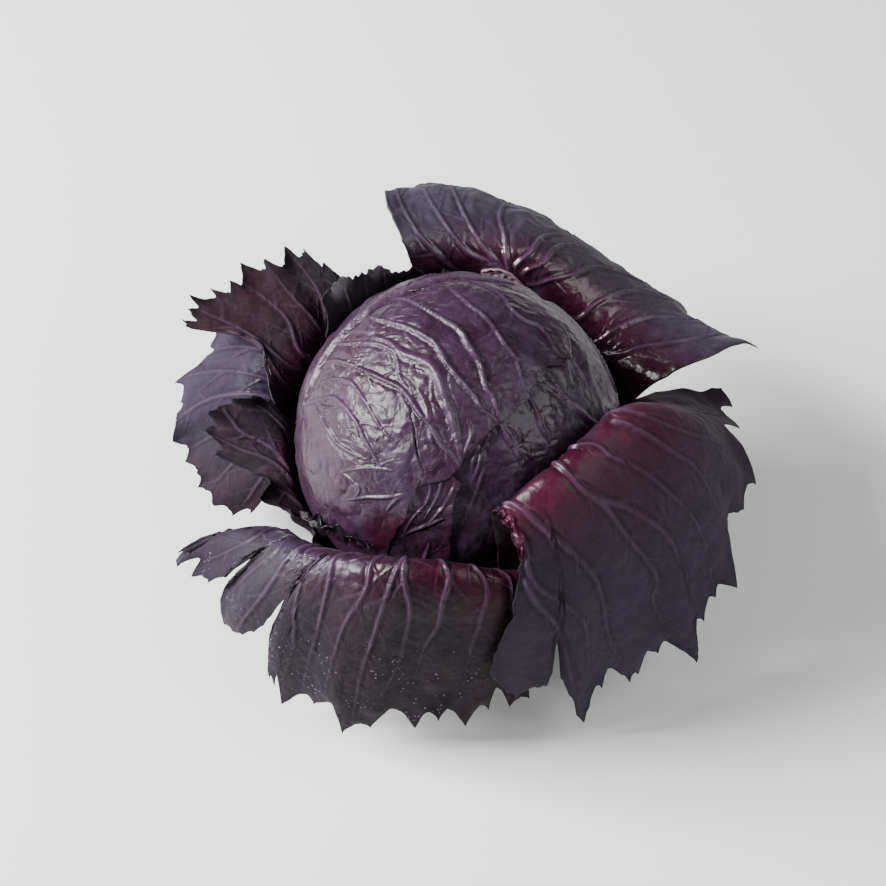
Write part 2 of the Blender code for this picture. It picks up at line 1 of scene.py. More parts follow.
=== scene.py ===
# %% [markdown]
# # A red cabbage with its outer leaves
#
# The object is a tight red cabbage head that still wears seven loose outer leaves. It rests on its
# cut stem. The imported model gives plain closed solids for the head, the stem and each leaf, all in
# one frame in metres. This lesson keeps their places and makes the surfaces that the eye sees.

# %% Load the frame
import bpy
import numpy as np
from mathutils import Matrix, Vector


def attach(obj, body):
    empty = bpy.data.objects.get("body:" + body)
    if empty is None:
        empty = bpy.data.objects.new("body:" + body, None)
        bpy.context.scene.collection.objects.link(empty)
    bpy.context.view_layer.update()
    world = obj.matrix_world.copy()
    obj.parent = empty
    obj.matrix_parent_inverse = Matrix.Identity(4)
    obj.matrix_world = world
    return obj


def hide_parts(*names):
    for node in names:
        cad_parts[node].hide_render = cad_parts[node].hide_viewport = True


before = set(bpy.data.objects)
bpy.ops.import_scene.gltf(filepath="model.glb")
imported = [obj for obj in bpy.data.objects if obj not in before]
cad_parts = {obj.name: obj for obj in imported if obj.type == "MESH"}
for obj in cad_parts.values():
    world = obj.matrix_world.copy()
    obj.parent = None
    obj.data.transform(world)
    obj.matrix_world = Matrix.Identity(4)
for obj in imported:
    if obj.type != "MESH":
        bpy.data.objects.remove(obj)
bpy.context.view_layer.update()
MM = 0.001
print("nodes:", sorted(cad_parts))

# %% [markdown]
# ## The camera
#
# The cabbage is seen from above at about 55 degrees with a long lens, as a cook sees it on a table.
# A camera can be aimed by a constraint, but three plain axes are easier to check: its right, its up
# and the way back from the object to the eye.

# %% Camera
HEAD_RADIUS = 0.075
HEAD_HEIGHT = 0.093
ELEVATION = np.radians(55)
DISTANCE = 1.0
LENS = 90
PIXEL = 0.00045                       # metres that one pixel covers at the head, in a frame of 886
AIM_RIGHT = -17 * PIXEL
AIM_UP = -6 * PIXEL

view_right = np.array([1.0, 0, 0])
view_up = np.array([0, np.sin(ELEVATION), np.cos(ELEVATION)])
view_back = np.array([0, -np.cos(ELEVATION), np.sin(ELEVATION)])
target = np.array([0, 0, HEAD_HEIGHT]) + AIM_RIGHT * view_right + AIM_UP * view_up
eye = target + DISTANCE * view_back

camera_data = bpy.data.cameras.new("camera")
camera_data.lens = LENS
camera_data.sensor_width = 36
camera = bpy.data.objects.new("camera", camera_data)
camera.matrix_world = Matrix([[*row, place] for row, place in
                              zip(np.column_stack([view_right, view_up, view_back]), eye)] + [[0, 0, 0, 1]])
bpy.context.scene.collection.objects.link(camera)
bpy.context.scene.camera = camera
print("eye at", eye.round(3))

# %% [markdown]
# ## Floor and light
#
# The real one stands in a white studio. One large soft lamp stands to the left, a little above the
# head, and a white room fills the shadows weakly, so the wax on the leaves shines on their left.


# %% Floor and lamps
def plain_material(name, colour, roughness):
    material = bpy.data.materials.new(name)
    material.use_nodes = True
    shader = material.node_tree.nodes["Principled BSDF"]
    shader.inputs["Base Color"].default_value = (*colour, 1)
    shader.inputs["Roughness"].default_value = roughness
    return material


def area_lamp(name, place, aim, size, power):
    lamp_data = bpy.data.lights.new(name, "AREA")
    lamp_data.shape = "SQUARE"
    lamp_data.size = size
    lamp_data.energy = power
    lamp = bpy.data.objects.new(name, lamp_data)
    lamp.location = place
    lamp.rotation_euler = (Vector(place) - Vector(aim)).to_track_quat("Z", "Y").to_euler()
    bpy.context.scene.collection.objects.link(lamp)


FLOOR_SIDE = 12.0
half = FLOOR_SIDE / 2
floor_mesh = bpy.data.meshes.new("floor")
floor_mesh.from_pydata([(-half, -half, 0), (half, -half, 0), (half, half, 0), (-half, half, 0)], [], [(0, 1, 2, 3)])
floor = bpy.data.objects.new("floor", floor_mesh)
bpy.context.scene.collection.objects.link(floor)
floor_mesh.materials.append(plain_material("floor_white", (0.82, 0.82, 0.82), 0.9))

area_lamp("softbox_left", (-1.20, 0.05, 0.92), (0, 0, 0.08), 0.7, 88)
area_lamp("softbox_right", (1.15, -0.25, 1.15), (0, 0, 0.08), 1.2, 20)
room = bpy.data.worlds.new("white_room")
room.use_nodes = True
room.node_tree.nodes["Background"].inputs["Color"].default_value = (1, 1, 1, 1)
room.node_tree.nodes["Background"].inputs["Strength"].default_value = 0.14
bpy.context.scene.world = room

# %% [markdown]
# ## Skin of the leaves
#
# A red cabbage leaf is dark plum under a thin grey-lilac wax. The wax is rubbed thin on folds, the
# ribs show through it in lilac, magenta flushes up from the stem and into the bends, and the
# margin dries nearly black. Light is painted in too: the wax is partly a painted highlight, most
# of all in a band along the front leaf's crest, the lilac of the ribs is partly a painted highlight
# on their ridges, and the near-black of the margin also gives painted shade beside veins, in cracks
# and creases and under lifted margins. Each leaf carries these as four numbers at every point:
# vein, flush, bloom and rim. The shader mixes its colours by them and breaks them up with noise
# read at Object coordinates. A fine cell pattern gives the net of small veins that is felt more
# than seen.


# %% Node helpers
class Tree:
    """A few short calls for building a node tree."""

    def __init__(self, material):
        self.nodes = material.node_tree.nodes
        self.links = material.node_tree.links
        self.shader = self.nodes["Principled BSDF"]
        self.place = self.nodes.new("ShaderNodeTexCoord").outputs["Object"]

    def put(self, value, socket):
        if isinstance(value, bpy.types.NodeSocket):
            self.links.new(value, socket)
        elif isinstance(value, tuple):
            socket.default_value = (*value, 1)
        else:
            socket.default_value = value

    def maths(self, operation, a, b=0.0, clamp=False):
        node = self.nodes.new("ShaderNodeMath")
        node.operation = operation
        node.use_clamp = clamp
        self.put(a, node.inputs[0])
        self.put(b, node.inputs[1])
        return node.outputs[0]

    def mix(self, share, a, b):
        node = self.nodes.new("ShaderNodeMix")
        node.data_type = "RGBA"
        self.put(share, node.inputs[0])
        self.put(a, node.inputs[6])
        self.put(b, node.inputs[7])
        return node.outputs[2]

    def span(self, value, low, high, to_low=0.0, to_high=1.0):
        node = self.nodes.new("ShaderNodeMapRange")
        for socket, number in zip(node.inputs[:5], (value, low, high, to_low, to_high)):
            self.put(number, socket)
        return node.outputs[0]

    def noise(self, scale, detail=3.0, roughness=0.5, stretch=None):
        node = self.nodes.new("ShaderNodeTexNoise")
        place = self.place
        if stretch:
            mapping = self.nodes.new("ShaderNodeMapping")
            mapping.inputs["Scale"].default_value = stretch
            self.links.new(place, mapping.inputs["Vector"])
            place = mapping.outputs[0]
        self.links.new(place, node.inputs["Vector"])
        node.inputs["Scale"].default_value = scale
        node.inputs["Detail"].default_value = detail
        node.inputs["Roughness"].default_value = roughness
        return node.outputs[0]

    def cells(self, scale, feature, wobble=0.0):
        node = self.nodes.new("ShaderNodeTexVoronoi")
        node.feature = feature
        self.links.new(self.place, node.inputs["Vector"])
        node.inputs["Scale"].default_value = scale
        return node.outputs["Distance"]

    def mark(self, name):
        node = self.nodes.new("ShaderNodeAttribute")
        node.attribute_name = name
        return node.outputs["Fac"]

    def bump(self, height, depth, strength, below=None):
        node = self.nodes.new("ShaderNodeBump")
        node.inputs["Strength"].default_value = strength
        node.inputs["Distance"].default_value = depth
        self.links.new(height, node.inputs["Height"])
        if below:
            self.links.new(below, node.inputs["Normal"])
        return node.outputs[0]


# %% Leaf skin material
PLUM = (0.0050, 0.0015, 0.0046)
PLUM_RED = (0.0125, 0.0010, 0.0048)
WAX = (0.030, 0.0225, 0.043)
# Paler lilac of the ribs, partly a painted highlight on their ridges
RIB_AND_HIGHLIGHT = (0.064, 0.036, 0.066)
MAGENTA = (0.060, 0.0006, 0.017)
# Near-black of the dried margin, also used for painted shade
DRIED_AND_SHADE = (0.003, 0.002, 0.004)
SPECK = (0.30, 0.28, 0.32)


def leaf_skin(name, wax=WAX, plum=PLUM, rough=0.33, net=230, shine=0.23, crinkle=0.4, mottle=0.5, folds=0.3):
    material = bpy.data.materials.new(name)
    material.use_nodes = True
    tree = Tree(material)
    broad = tree.noise(28, 4, 0.55)
    patch = tree.noise(95, 4, 0.6)
    grain = tree.noise(900, 3, 0.6)
    vein, flush, wax_and_highlight, rim_and_shade, speck = (tree.mark(mark) for mark in ("vein", "flush", "wax_and_highlight", "rim_and_shade", "speck"))
    red = tree.mix(tree.span(broad, 0.42, 0.66), plum, PLUM_RED)
    cover = tree.maths("MULTIPLY", wax_and_highlight, tree.span(patch, 0.28, 0.66, mottle, 1.25))
    cover = tree.maths("MULTIPLY", cover, tree.span(grain, 0.3, 0.7, 0.86, 1.1), clamp=True)
    # Wax colour by the wax mark: partly the real grey-lilac wax, partly a painted highlight.
    colour = tree.mix(cover, red, wax)
    blush = tree.maths("MULTIPLY", flush, tree.span(broad, 0.3, 0.6, 0.55, 1.15), clamp=True)
    colour = tree.mix(blush, colour, MAGENTA)
    cell = tree.cells(net, "DISTANCE_TO_EDGE")
    fine = tree.span(cell, 0.0, 0.12, 0.07, 0.0)
    colour = tree.mix(fine, colour, RIB_AND_HIGHLIGHT)
    # Ribs in a paler lilac by the vein mark, partly a painted highlight on the ridge tops.
    rib = tree.maths("MULTIPLY", vein, tree.span(patch, 0.3, 0.7, 0.35, 0.8), clamp=True)
    colour = tree.mix(rib, colour, RIB_AND_HIGHLIGHT)
    # Near-black by the rim mark: the dried margin, and painted shade beside veins, in cracks and creases and under
    # lifted margins.
    colour = tree.mix(tree.maths("MULTIPLY", rim_and_shade, 0.85), colour, DRIED_AND_SHADE)
    dots = tree.maths("MULTIPLY", tree.span(tree.cells(420, "F1"), 0.13, 0.22, 1.0, 0.0), tree.span(patch, 0.5, 0.6))
    colour = tree.mix(tree.maths("MULTIPLY", dots, speck), colour, SPECK)
    tree.links.new(colour, tree.shader.inputs["Base Color"])
    gloss = tree.span(patch, 0.3, 0.7, rough - 0.07, rough + 0.09)
    gloss = tree.maths("ADD", gloss, tree.maths("MULTIPLY", tree.mark("matt"), 0.48))
    tree.links.new(gloss, tree.shader.inputs["Roughness"])
    fold = tree.maths("ABSOLUTE", tree.maths("SUBTRACT", tree.noise(75, 2.5, 0.5), 0.5))
    lumps = tree.bump(tree.noise(240, 4, 0.6), 0.0006, crinkle, tree.bump(fold, 0.006, folds))
    netted = tree.bump(cell, 0.0005, 0.22, lumps)
    tree.links.new(tree.bump(grain, 0.00012, 0.25, netted), tree.shader.inputs["Normal"])
    tree.shader.inputs["Specular IOR Level"].default_value = shine
    tree.shader.inputs["Sheen Weight"].default_value = 0.015
    tree.shader.inputs["Sheen Roughness"].default_value = 0.45
    tree.shader.inputs["Sheen Tint"].default_value = (0.80, 0.72, 0.95, 1)
    return material


SKIN = leaf_skin("leaf_skin_plum")
HEAD_SKIN = leaf_skin("head_skin_plum", wax=(0.031, 0.0195, 0.041), plum=(0.0065, 0.0012, 0.0050), rough=0.37, net=260,
                      shine=0.30, crinkle=0.5, mottle=0.3, folds=0.5)
GLOSSY_SKIN = leaf_skin("leaf_skin_glossy", rough=0.25, shine=0.45)
print("skins:", SKIN.name, HEAD_SKIN.name)

# %% [markdown]
# ## Lines down a leaf
#
# An outer leaf hugs the head and then bends out. Seen in a plane through the stem, each line down
# the leaf is an arc of a circle round the head followed by a Bezier curve to the margin. Five
# stations across a leaf give the numbers of its lines, and a smooth line runs through the five.
# The solids are made from the same numbers, so the new leaves lie exactly on them.

# %% Smooth steps and curves
STEM_RADIUS = 0.017
LEAF_CLEARANCE = 0.0003
BEND_WEIGHT = 0.022
LINE_STEPS = 160


def smoothstep(x):
    """x * x * (3 - 2x), held at 0 below 0 and at 1 above 1."""
    x = np.clip(x, 0, 1)
    return x * x * (3 - 2 * x)


def through(values, x):
    """A cubic through evenly spaced values, with slopes from their neighbours, read at x from -1 to 1."""
    values = np.asarray(values, float)
    slope = np.gradient(values)
    place = (np.clip(x, -1, 1) + 1) / 2 * (len(values) - 1)
    i = np.minimum(place.astype(int), len(values) - 2)
    f = place - i
    return ((2 * f**3 - 3 * f**2 + 1) * values[i] + (f**3 - 2 * f**2 + f) * slope[i]
            + (3 * f**2 - 2 * f**3) * values[i + 1] + (f**3 - f**2) * slope[i + 1])


def bezier(p0, p1, p2, p3, b):
    """(1-b)^3 p0 + 3 (1-b)^2 b p1 + 3 (1-b) b^2 p2 + b^3 p3."""
    return (1 - b)**3 * p0 + 3 * (1 - b)**2 * b * p1 + 3 * (1 - b) * b**2 * p2 + b**3 * p3


def waves(x, y, seed, count=7):
    """Even-tempered lumps between about -1 and 1: a mean of sines in directions drawn from the seed."""
    draw = np.random.default_rng(seed)
    angle = draw.uniform(0, 2 * np.pi, count)
    pitch = draw.uniform(0.6, 1.6, count)
    phase = draw.uniform(0, 2 * np.pi, count)
    total = np.zeros(np.broadcast(x, y).shape)
    for a, k, p in zip(angle, pitch, phase):
        total = total + np.sin(k * (x * np.cos(a) + y * np.sin(a)) + p)
    return total / np.sqrt(count)


# %% [markdown]
# ## The seven outer leaves in numbers
#
# turn is the azimuth in degrees where a station leaves the head, leave the elevation there, and
# out, radius and height place the margin. margin lists the tips and bays of the torn outline, each
# with its place across the leaf from -1 to 1 and how many mm it falls short. veins are the main
# side veins as places across and along. bloom, flush and puff are how waxy, how magenta and how
# quilted the leaf is; the wax is partly a painted highlight. crest is the strength of a painted
# highlight of wax colour along the front leaf's crest.

# %% Leaf table
LEAVES = {
    "leaf_front": dict(
        gap=9.0, flare=1.0, arch=(0.25, 0.42, 0.24, 0.15, 0.1), fall=(0.61, 0.94, 1.11, 1.2, 1.2),
        droop=(76, 90.5, 91.5, 93, 94), turn=(214, 231, 251, 270, 288), leave=(-14, -2, 10.5, 14, 9),
        out=(195, 215, 240, 262, 288), bow=(0, 0, 0, 0, 0), radius=(137, 128, 120, 108, 98),
        height=(38, 16, 8, 8, 11), ruffle=(2.0, 3.5, 0.3), matt=(0.62,) * 5, grid=(190, 240),
        margin=((-1, 31), (-0.985, 19), (-0.97, 25), (-0.955, 9.5), (-0.9, 29), (-0.868, 17),
                (-0.76, 31), (-0.7, 46), (-0.686, 73), (-0.672, 44), (-0.655, 33), (-0.63, 27),
                (-0.605, 15), (-0.52, 24), (-0.446, 34), (-0.39, 45), (-0.355, 56), (-0.338, 66),
                (-0.318, 81), (-0.303, 55), (-0.29, 18), (-0.27, 23), (-0.255, 16), (-0.24, 29),
                (-0.22, 3), (-0.115, 19), (-0.08, 12.5), (0.02, 27.5), (0.072, 2), (0.17, 16),
                (0.215, 12), (0.313, 31.5), (0.442, 10), (0.502, 31), (0.551, 22), (0.588, 33),
                (0.677, 11.5), (0.744, 26), (0.793, 16), (0.826, 34), (0.902, 9.5), (0.956, 18),
                (1, 12)),
        veins=(((0, 0.2), (-0.6, 0.42), (-0.96, 0.58), (-0.84, 0.69), (-0.83, 0.78), (-0.92, 0.93)),
               ((0, 0.28), (-0.45, 0.44), (-0.68, 0.55), (-0.57, 0.68), (-0.6, 0.78), (-0.62, 0.88)),
               ((0, 0.32), (-0.3, 0.48), (-0.43, 0.59), (-0.31, 0.68), (-0.24, 0.75), (-0.19, 0.83), (-0.22, 0.98)),
               ((0, 0.38), (-0.2, 0.52), (-0.24, 0.6), (-0.15, 0.69), (-0.11, 0.77), (-0.11, 0.84), (-0.12, 0.94)),
               ((0, 0.1), (0, 0.4), (-0.01, 0.59), (0.05, 0.67), (0.01, 0.74), (0, 0.8), (-0.01, 0.89)),
               ((0, 0.34), (0.12, 0.48), (0.17, 0.59), (0.18, 0.69), (0.17, 0.76), (0.15, 0.83), (0.14, 0.9), (0.12, 0.98)),
               ((0, 0.38), (0.15, 0.52), (0.23, 0.63), (0.33, 0.7), (0.34, 0.76), (0.32, 0.82), (0.26, 0.88)),
               ((0, 0.28), (0.35, 0.48), (0.51, 0.62), (0.51, 0.69), (0.5, 0.74), (0.45, 0.78), (0.42, 0.88)),
               ((0, 0.2), (0.5, 0.42), (0.74, 0.64), (0.72, 0.73), (0.68, 0.79), (0.65, 0.93)),
               ((0, 0.12), (0.6, 0.36), (0.88, 0.6), (0.9, 0.75), (0.9, 0.95)),
               ((-0.5, 0.5), (-0.48, 0.62), (-0.42, 0.74), (-0.46, 0.86), (-0.51, 0.94))),
        wax_and_highlight=(0.42, 0.3, 0.12, 0.05, 0.02), flush=(0.1, 0.05, 0.15, 0.3, 0.5), puff=0.8, curl=0.05, seed=3,
        # crest: strength of a painted highlight of wax colour along the crest
        specks=0.7, wax_from=0.42, painted_crest_highlight=0.95),
    "leaf_right": dict(
        gap=4.0, flare=1.0, arch=(0.17, 0.14, 0.27, 0.43, 0.24), fall=(1.14, 1.21, 1.11, 0.98, 0.34),
        droop=(85, 85, 84.5, 84, 73), turn=(282, 302.5, 322, 345, 378), leave=(28, 34, 32.5, 20.5, -10),
        out=(274, 302, 326, 350, 378), bow=(8.7, 1.6, 0, 0, 0), radius=(113, 116, 131, 141, 133),
        height=(43, 10, 15, 30, 69), ruffle=(2.5, 3.0, 1.0), matt=(0.56, 0.56, 0.53, 0.42, 0.3), grid=(190, 240),
        margin=((-1, 28), (-0.93, 22), (-0.853, 15.5), (-0.806, 24), (-0.737, 28.5), (-0.718, 37),
                (-0.7, 57), (-0.682, 36), (-0.64, 25), (-0.595, 8), (-0.56, 1), (-0.54, 14),
                (-0.522, 25), (-0.5, 29.5), (-0.473, 25), (-0.435, 36), (-0.317, 14), (-0.288, 18.5),
                (-0.264, 14.5), (-0.215, 29.5), (-0.17, 25), (-0.143, 32.5), (-0.008, 4), (0.012, 36),
                (0.043, 31), (0.085, 44.5), (0.115, 41.5), (0.14, 48), (0.237, 30.5), (0.301, 65),
                (0.482, 44), (0.542, 49.5), (0.6, 34.5), (0.7, 53.5), (0.82, 21.5), (0.875, 24),
                (0.944, 5), (1, 9)),
        veins=(((0, 0.3), (0.2, 0.45), (0.31, 0.55), (0.35, 0.63), (0.42, 0.68), (0.54, 0.75), (0.62, 0.84)),
               ((0.2, 0.58), (0.26, 0.68), (0.31, 0.72), (0.31, 0.76), (0.28, 0.82)),
               ((-0.15, 0.42), (-0.17, 0.53), (-0.06, 0.6), (-0.05, 0.63), (0.04, 0.67), (0.09, 0.71), (0.14, 0.77),
                (0.14, 0.82), (0.12, 0.88)),
               ((-0.4, 0.52), (-0.39, 0.63), (-0.29, 0.68), (-0.23, 0.73), (-0.15, 0.79), (-0.13, 0.82), (-0.17, 0.85),
                (-0.12, 0.92)),
               ((-0.3, 0.67), (-0.25, 0.68), (-0.13, 0.71), (-0.03, 0.76), (0, 0.82), (0, 0.9)),
               ((-0.9, 0.55), (-0.84, 0.65), (-0.75, 0.69), (-0.62, 0.72), (-0.49, 0.76), (-0.45, 0.8), (-0.44, 0.84),
                (-0.41, 0.88), (-0.31, 0.95)),
               ((-0.97, 0.7), (-0.9, 0.77), (-0.68, 0.8), (-0.57, 0.83), (-0.55, 0.9)),
               ((-0.95, 0.77), (-0.87, 0.8), (-0.73, 0.83), (-0.67, 0.87), (-0.64, 0.91), (-0.57, 0.98)),
               ((0, 0.2), (0.4, 0.42), (0.65, 0.62), (0.75, 0.72), (0.82, 0.82), (0.9, 0.9)),
               ((0, 0.1), (-0.1, 0.35), (-0.3, 0.52))),
        wax_and_highlight=(0.6, 0.65, 0.7, 0.5, 0.12), flush=(0.8, 0.75, 0.65, 0.5, 0.35), puff=0.9, curl=0.06, seed=5, lip=1.0),
    "leaf_back_right": dict(
        gap=7.0, flare=1.0, arch=(0.36, 0.39, 0.49, 0.51, 0.59), fall=(0.7, 0.69, 0.69, 0.69, 0.69),
        droop=(75, 72, 72, 72, 71.5), turn=(18, 43, 64, 84, 106), leave=(-14, -7, 8.5, 11, 14),
        out=(23.5, 41, 63, 86, 106.5), bow=(-2.4, 0.3, 0, 0, 2.3), radius=(153.5, 144, 141, 143.5, 124.5),
        height=(69, 61, 69.5, 91, 122.5), ruffle=(0.8, 3.5, 0.5), matt=(0.62,) * 5, grid=(190, 240),
        margin=((-1, 6), (-0.96, 14), (-0.92, 21), (-0.86, 1), (-0.78, 15), (-0.7, 4), (-0.62, 17),
                (-0.52, 2), (-0.45, 13), (-0.36, 6), (-0.24, 20), (-0.12, 1), (-0.04, 12),
                (0.06, 5), (0.17, 21), (0.3, 2), (0.38, 13), (0.46, 7), (0.58, 18), (0.7, 3),
                (0.78, 12), (0.86, 6), (0.93, 14), (1, 4)),
        veins=(((0.27, 0.54), (0.42, 0.57), (0.55, 0.6), (0.65, 0.67), (0.72, 0.74), (0.76, 0.8), (0.8, 0.92)),
               ((0.27, 0.54), (0.38, 0.59), (0.48, 0.65), (0.57, 0.73), (0.62, 0.82), (0.64, 0.94)),
               ((0.24, 0.55), (0.28, 0.61), (0.31, 0.68), (0.37, 0.75), (0.36, 0.85), (0.31, 0.96)),
               ((0.19, 0.57), (0.12, 0.66), (0.1, 0.75), (0.03, 0.84), (0.05, 0.95)),
               ((0.12, 0.55), (0.01, 0.64), (0, 0.74), (-0.08, 0.85), (-0.13, 0.96)),
               ((0.1, 0.5), (-0.02, 0.54), (-0.16, 0.66), (-0.22, 0.77), (-0.34, 0.86), (-0.37, 0.96)),
               ((-0.1, 0.45), (-0.33, 0.53), (-0.38, 0.66), (-0.42, 0.76), (-0.5, 0.84), (-0.54, 0.95)),
               ((-0.2, 0.42), (-0.5, 0.51), (-0.57, 0.63), (-0.61, 0.72), (-0.7, 0.82), (-0.71, 0.94)),
               ((-0.3, 0.42), (-0.66, 0.54), (-0.75, 0.62), (-0.82, 0.69), (-0.87, 0.79), (-0.86, 0.93)),
               ((0.5, 0.48), (0.66, 0.54), (0.83, 0.66), (0.89, 0.73), (0.92, 0.82), (0.93, 0.93)),
               ((0, 0.1), (0.1, 0.3), (0.25, 0.52))),
        wax_and_highlight=(0.85, 0.6, 0.75, 1, 1), flush=(0.35, 0.5, 0.45, 0.4, 0.3), puff=1.3, curl=0.05, seed=8),
    "leaf_back": dict(
        gap=2.0, flare=1.0, arch=(0.35, 0.35, 0.35, 0.35, 0.35), fall=(0.3, 0.3, 0.3, 0.3, 0.3),
        droop=(-80, -80, -80, -80, -80), turn=(88, 103, 117, 130, 144), leave=(10, 15, 15, 15, 10),
        out=(92, 104, 118, 130, 140), bow=(0, 0, 0, 0, 0), radius=(77, 72, 72, 77, 82),
        height=(118, 130, 139, 137, 128), ruffle=(0.4, 2.0, 0.0), matt=(0.62,) * 5, grid=(120, 140),
        margin=((-1, 4), (-0.82, 1.5), (-0.6, 3.5), (-0.4, 1), (-0.18, 3), (0.1, 1.2), (0.36, 3.6),
                (0.6, 1), (0.82, 3), (1, 2)),
        veins=(((0, 0.05), (0.0, 0.4), (0.02, 0.95)), ((0, 0.2), (0.4, 0.5), (0.6, 0.95)),
               ((0, 0.15), (-0.4, 0.45), (-0.6, 0.95)), ((0, 0.4), (0.25, 0.65), (0.3, 0.95)),
               ((0, 0.38), (-0.25, 0.62), (-0.3, 0.95)), ((0, 0.1), (0.6, 0.4), (0.9, 0.8)),
               ((0, 0.1), (-0.6, 0.4), (-0.9, 0.8))),
        wax_and_highlight=(0.2, 0.2, 0.2, 0.2, 0.2), flush=(0.3, 0.3, 0.2, 0.2, 0.3), puff=0.5, curl=0.12, seed=11),
    "leaf_back_left": dict(
        gap=6.5, flare=2.0, arch=(0.3, 0.3, 0.3, 0.3, 0.69), fall=(0.4, 0.4, 0.4, 0.4, 0.4),
        droop=(-35, -35, -35, -35, -35), turn=(118, 130, 142, 155, 175), leave=(15, 10, 5, -5, -12),
        out=(121, 130, 139, 150, 156), bow=(0, 0, 0, 0, -7), radius=(88, 102, 119, 138, 146.5),
        height=(130, 135, 132, 119, 103), ruffle=(2.0, 3.0, 0.0), matt=(0.62,) * 5, grid=(170, 210),
        margin=((-1, 27), (-0.815, 17), (-0.675, 21), (-0.47, 9), (-0.41, 12), (-0.33, 3), (-0.26, 7),
                (-0.17, 1), (-0.03, 11), (0.043, 5), (0.115, 9), (0.195, 2), (0.295, 12), (0.325, 7),
                (0.404, 13), (0.506, 4), (0.553, 9), (0.653, 0), (0.722, 7), (0.782, 3), (0.86, 9),
                (0.93, 4), (1, 8)),
        veins=(((0, 0.1), (0.2, 0.4), (0.22, 0.53), (0.01, 0.62), (0.03, 0.76), (0.07, 0.86), (0.06, 0.96)),
               ((0.2, 0.55), (0.33, 0.7), (0.24, 0.8), (0.23, 0.85), (0.27, 0.93)),
               ((0.1, 0.5), (-0.18, 0.67), (-0.36, 0.74), (-0.49, 0.81), (-0.52, 0.93)),
               ((0.2, 0.5), (0.55, 0.68), (0.66, 0.8), (0.72, 0.93)),
               ((0.1, 0.3), (0.6, 0.55), (0.88, 0.72), (0.93, 0.88)),
               ((0.0, 0.3), (-0.5, 0.55), (-0.8, 0.75), (-0.86, 0.9)),
               ((0.03, 0.62), (-0.12, 0.74), (-0.2, 0.86), (-0.18, 0.96))),
        wax_and_highlight=(0, 0, 0, 0.02, 0.05), flush=(0.6, 0.55, 0.45, 0.35, 0.2), puff=0.9, curl=0.07, seed=14),
    "leaf_left_low": dict(
        gap=10.5, flare=2.0, arch=(0.5, 0.42, 0.35, 0.3, 0.25), fall=(0.5, 0.5, 0.5, 0.5, 0.5),
        droop=(60, 60, 60, 60, 60), turn=(130, 145, 158, 170, 183), leave=(-2, -5, -12, -20, -25),
        out=(140, 151, 160, 169, 181), bow=(0, 0, 0, 0, 0), radius=(125, 138, 146, 138, 104),
        height=(85, 72, 55, 25, 22), ruffle=(2.0, 3.0, 1.0), matt=(0.62,) * 5, grid=(170, 210),
        margin=((-1, 9), (-0.86, 2), (-0.75, 8), (-0.65, 1), (-0.56, 8), (-0.49, 5), (-0.41, 11),
                (-0.34, 6), (-0.22, 14), (-0.11, 0), (-0.04, 10), (0.07, 5), (0.12, 9), (0.15, 6),
                (0.2, 10), (0.31, 5), (0.4, 13), (0.47, 9), (0.57, 17), (0.66, 9), (0.73, 14),
                (0.8, 8), (0.86, 11), (0.92, 4), (0.97, 14), (1, 10)),
        veins=(((0, 0.2), (-0.4, 0.5), (-0.7, 0.72), (-0.75, 0.92)),
               ((0, 0.3), (-0.3, 0.62), (-0.36, 0.78), (-0.33, 0.93)),
               ((0, 0.1), (-0.06, 0.5), (-0.08, 0.75), (-0.1, 0.94)),
               ((0, 0.4), (0.1, 0.65), (0.14, 0.8), (0.2, 0.94)),
               ((0, 0.3), (0.3, 0.6), (0.4, 0.78), (0.42, 0.92)),
               ((0, 0.2), (0.45, 0.55), (0.62, 0.74), (0.72, 0.93)),
               ((0, 0.12), (0.6, 0.5), (0.85, 0.75), (0.93, 0.92))),
        wax_and_highlight=(0.8, 0.8, 0.7, 0.25, 0.08), flush=(0.0, 0.0, 0.0, 0.05, 0.1), puff=0.6, curl=0.07, seed=17),
    "leaf_left": dict(
        gap=1.5, flare=2.0, arch=(0.3, 0.3, 0.3, 0.3, 0.3), fall=(0.4, 0.4, 0.4, 0.4, 0.4),
        droop=(-30, -30, -30, -30, -30), turn=(170, 184, 198, 213, 233), leave=(-5, -8, -12, -15, -12),
        out=(169, 174, 181, 201, 232), bow=(0, 0, 0, 0, 0), radius=(100, 116, 113, 94, 80),
        height=(104, 97, 88, 85, 87), ruffle=(1.2, 3.0, 0.5), matt=(0.62,) * 5, grid=(150, 180),
        margin=((-1, 5), (-0.85, 1), (-0.68, 4.5), (-0.5, 0.5), (-0.36, 4), (-0.2, 1), (-0.08, 5),
                (0.03, 1), (0.13, 14), (0.18, 12), (0.25, 15), (0.42, 2), (0.52, 6), (0.62, 2),
                (0.72, 5.5), (0.83, 2), (0.92, 4), (1, 3)),
        veins=(((0, 0.1), (-0.1, 0.55), (-0.3, 0.82), (-0.51, 0.9), (-0.7, 0.98)), ((0, 0.3), (0.0, 0.7), (-0.15, 0.95)),
               ((0, 0.2), (0.3, 0.6), (0.3, 0.95)), ((0, 0.15), (0.5, 0.55), (0.6, 0.95)),
               ((0, 0.1), (0.7, 0.45), (0.88, 0.9)), ((0, 0.1), (-0.5, 0.5), (-0.85, 0.9))),
        wax_and_highlight=(0.14, 0.12, 0.1, 0.06, 0.05), flush=(0.2, 0.2, 0.25, 0.35, 0.5), puff=0.5, curl=0.14, seed=21),
}
print(len(LEAVES), "outer leaves,", sum(len(leaf["veins"]) for leaf in LEAVES.values()), "main veins")


# %% Lines down a leaf and its smooth sheet
def by_column(s, knots, values):
    """Straight lines between knots, read at s in every column at once: columns are laid end to end, 4 apart."""
    apart = 4.0 * np.arange(s.shape[1])
    flat = np.interp((s + apart).T.ravel(), (knots + apart).T.ravel(), values.T.ravel())
    return flat.reshape(s.shape[1], s.shape[0]).T


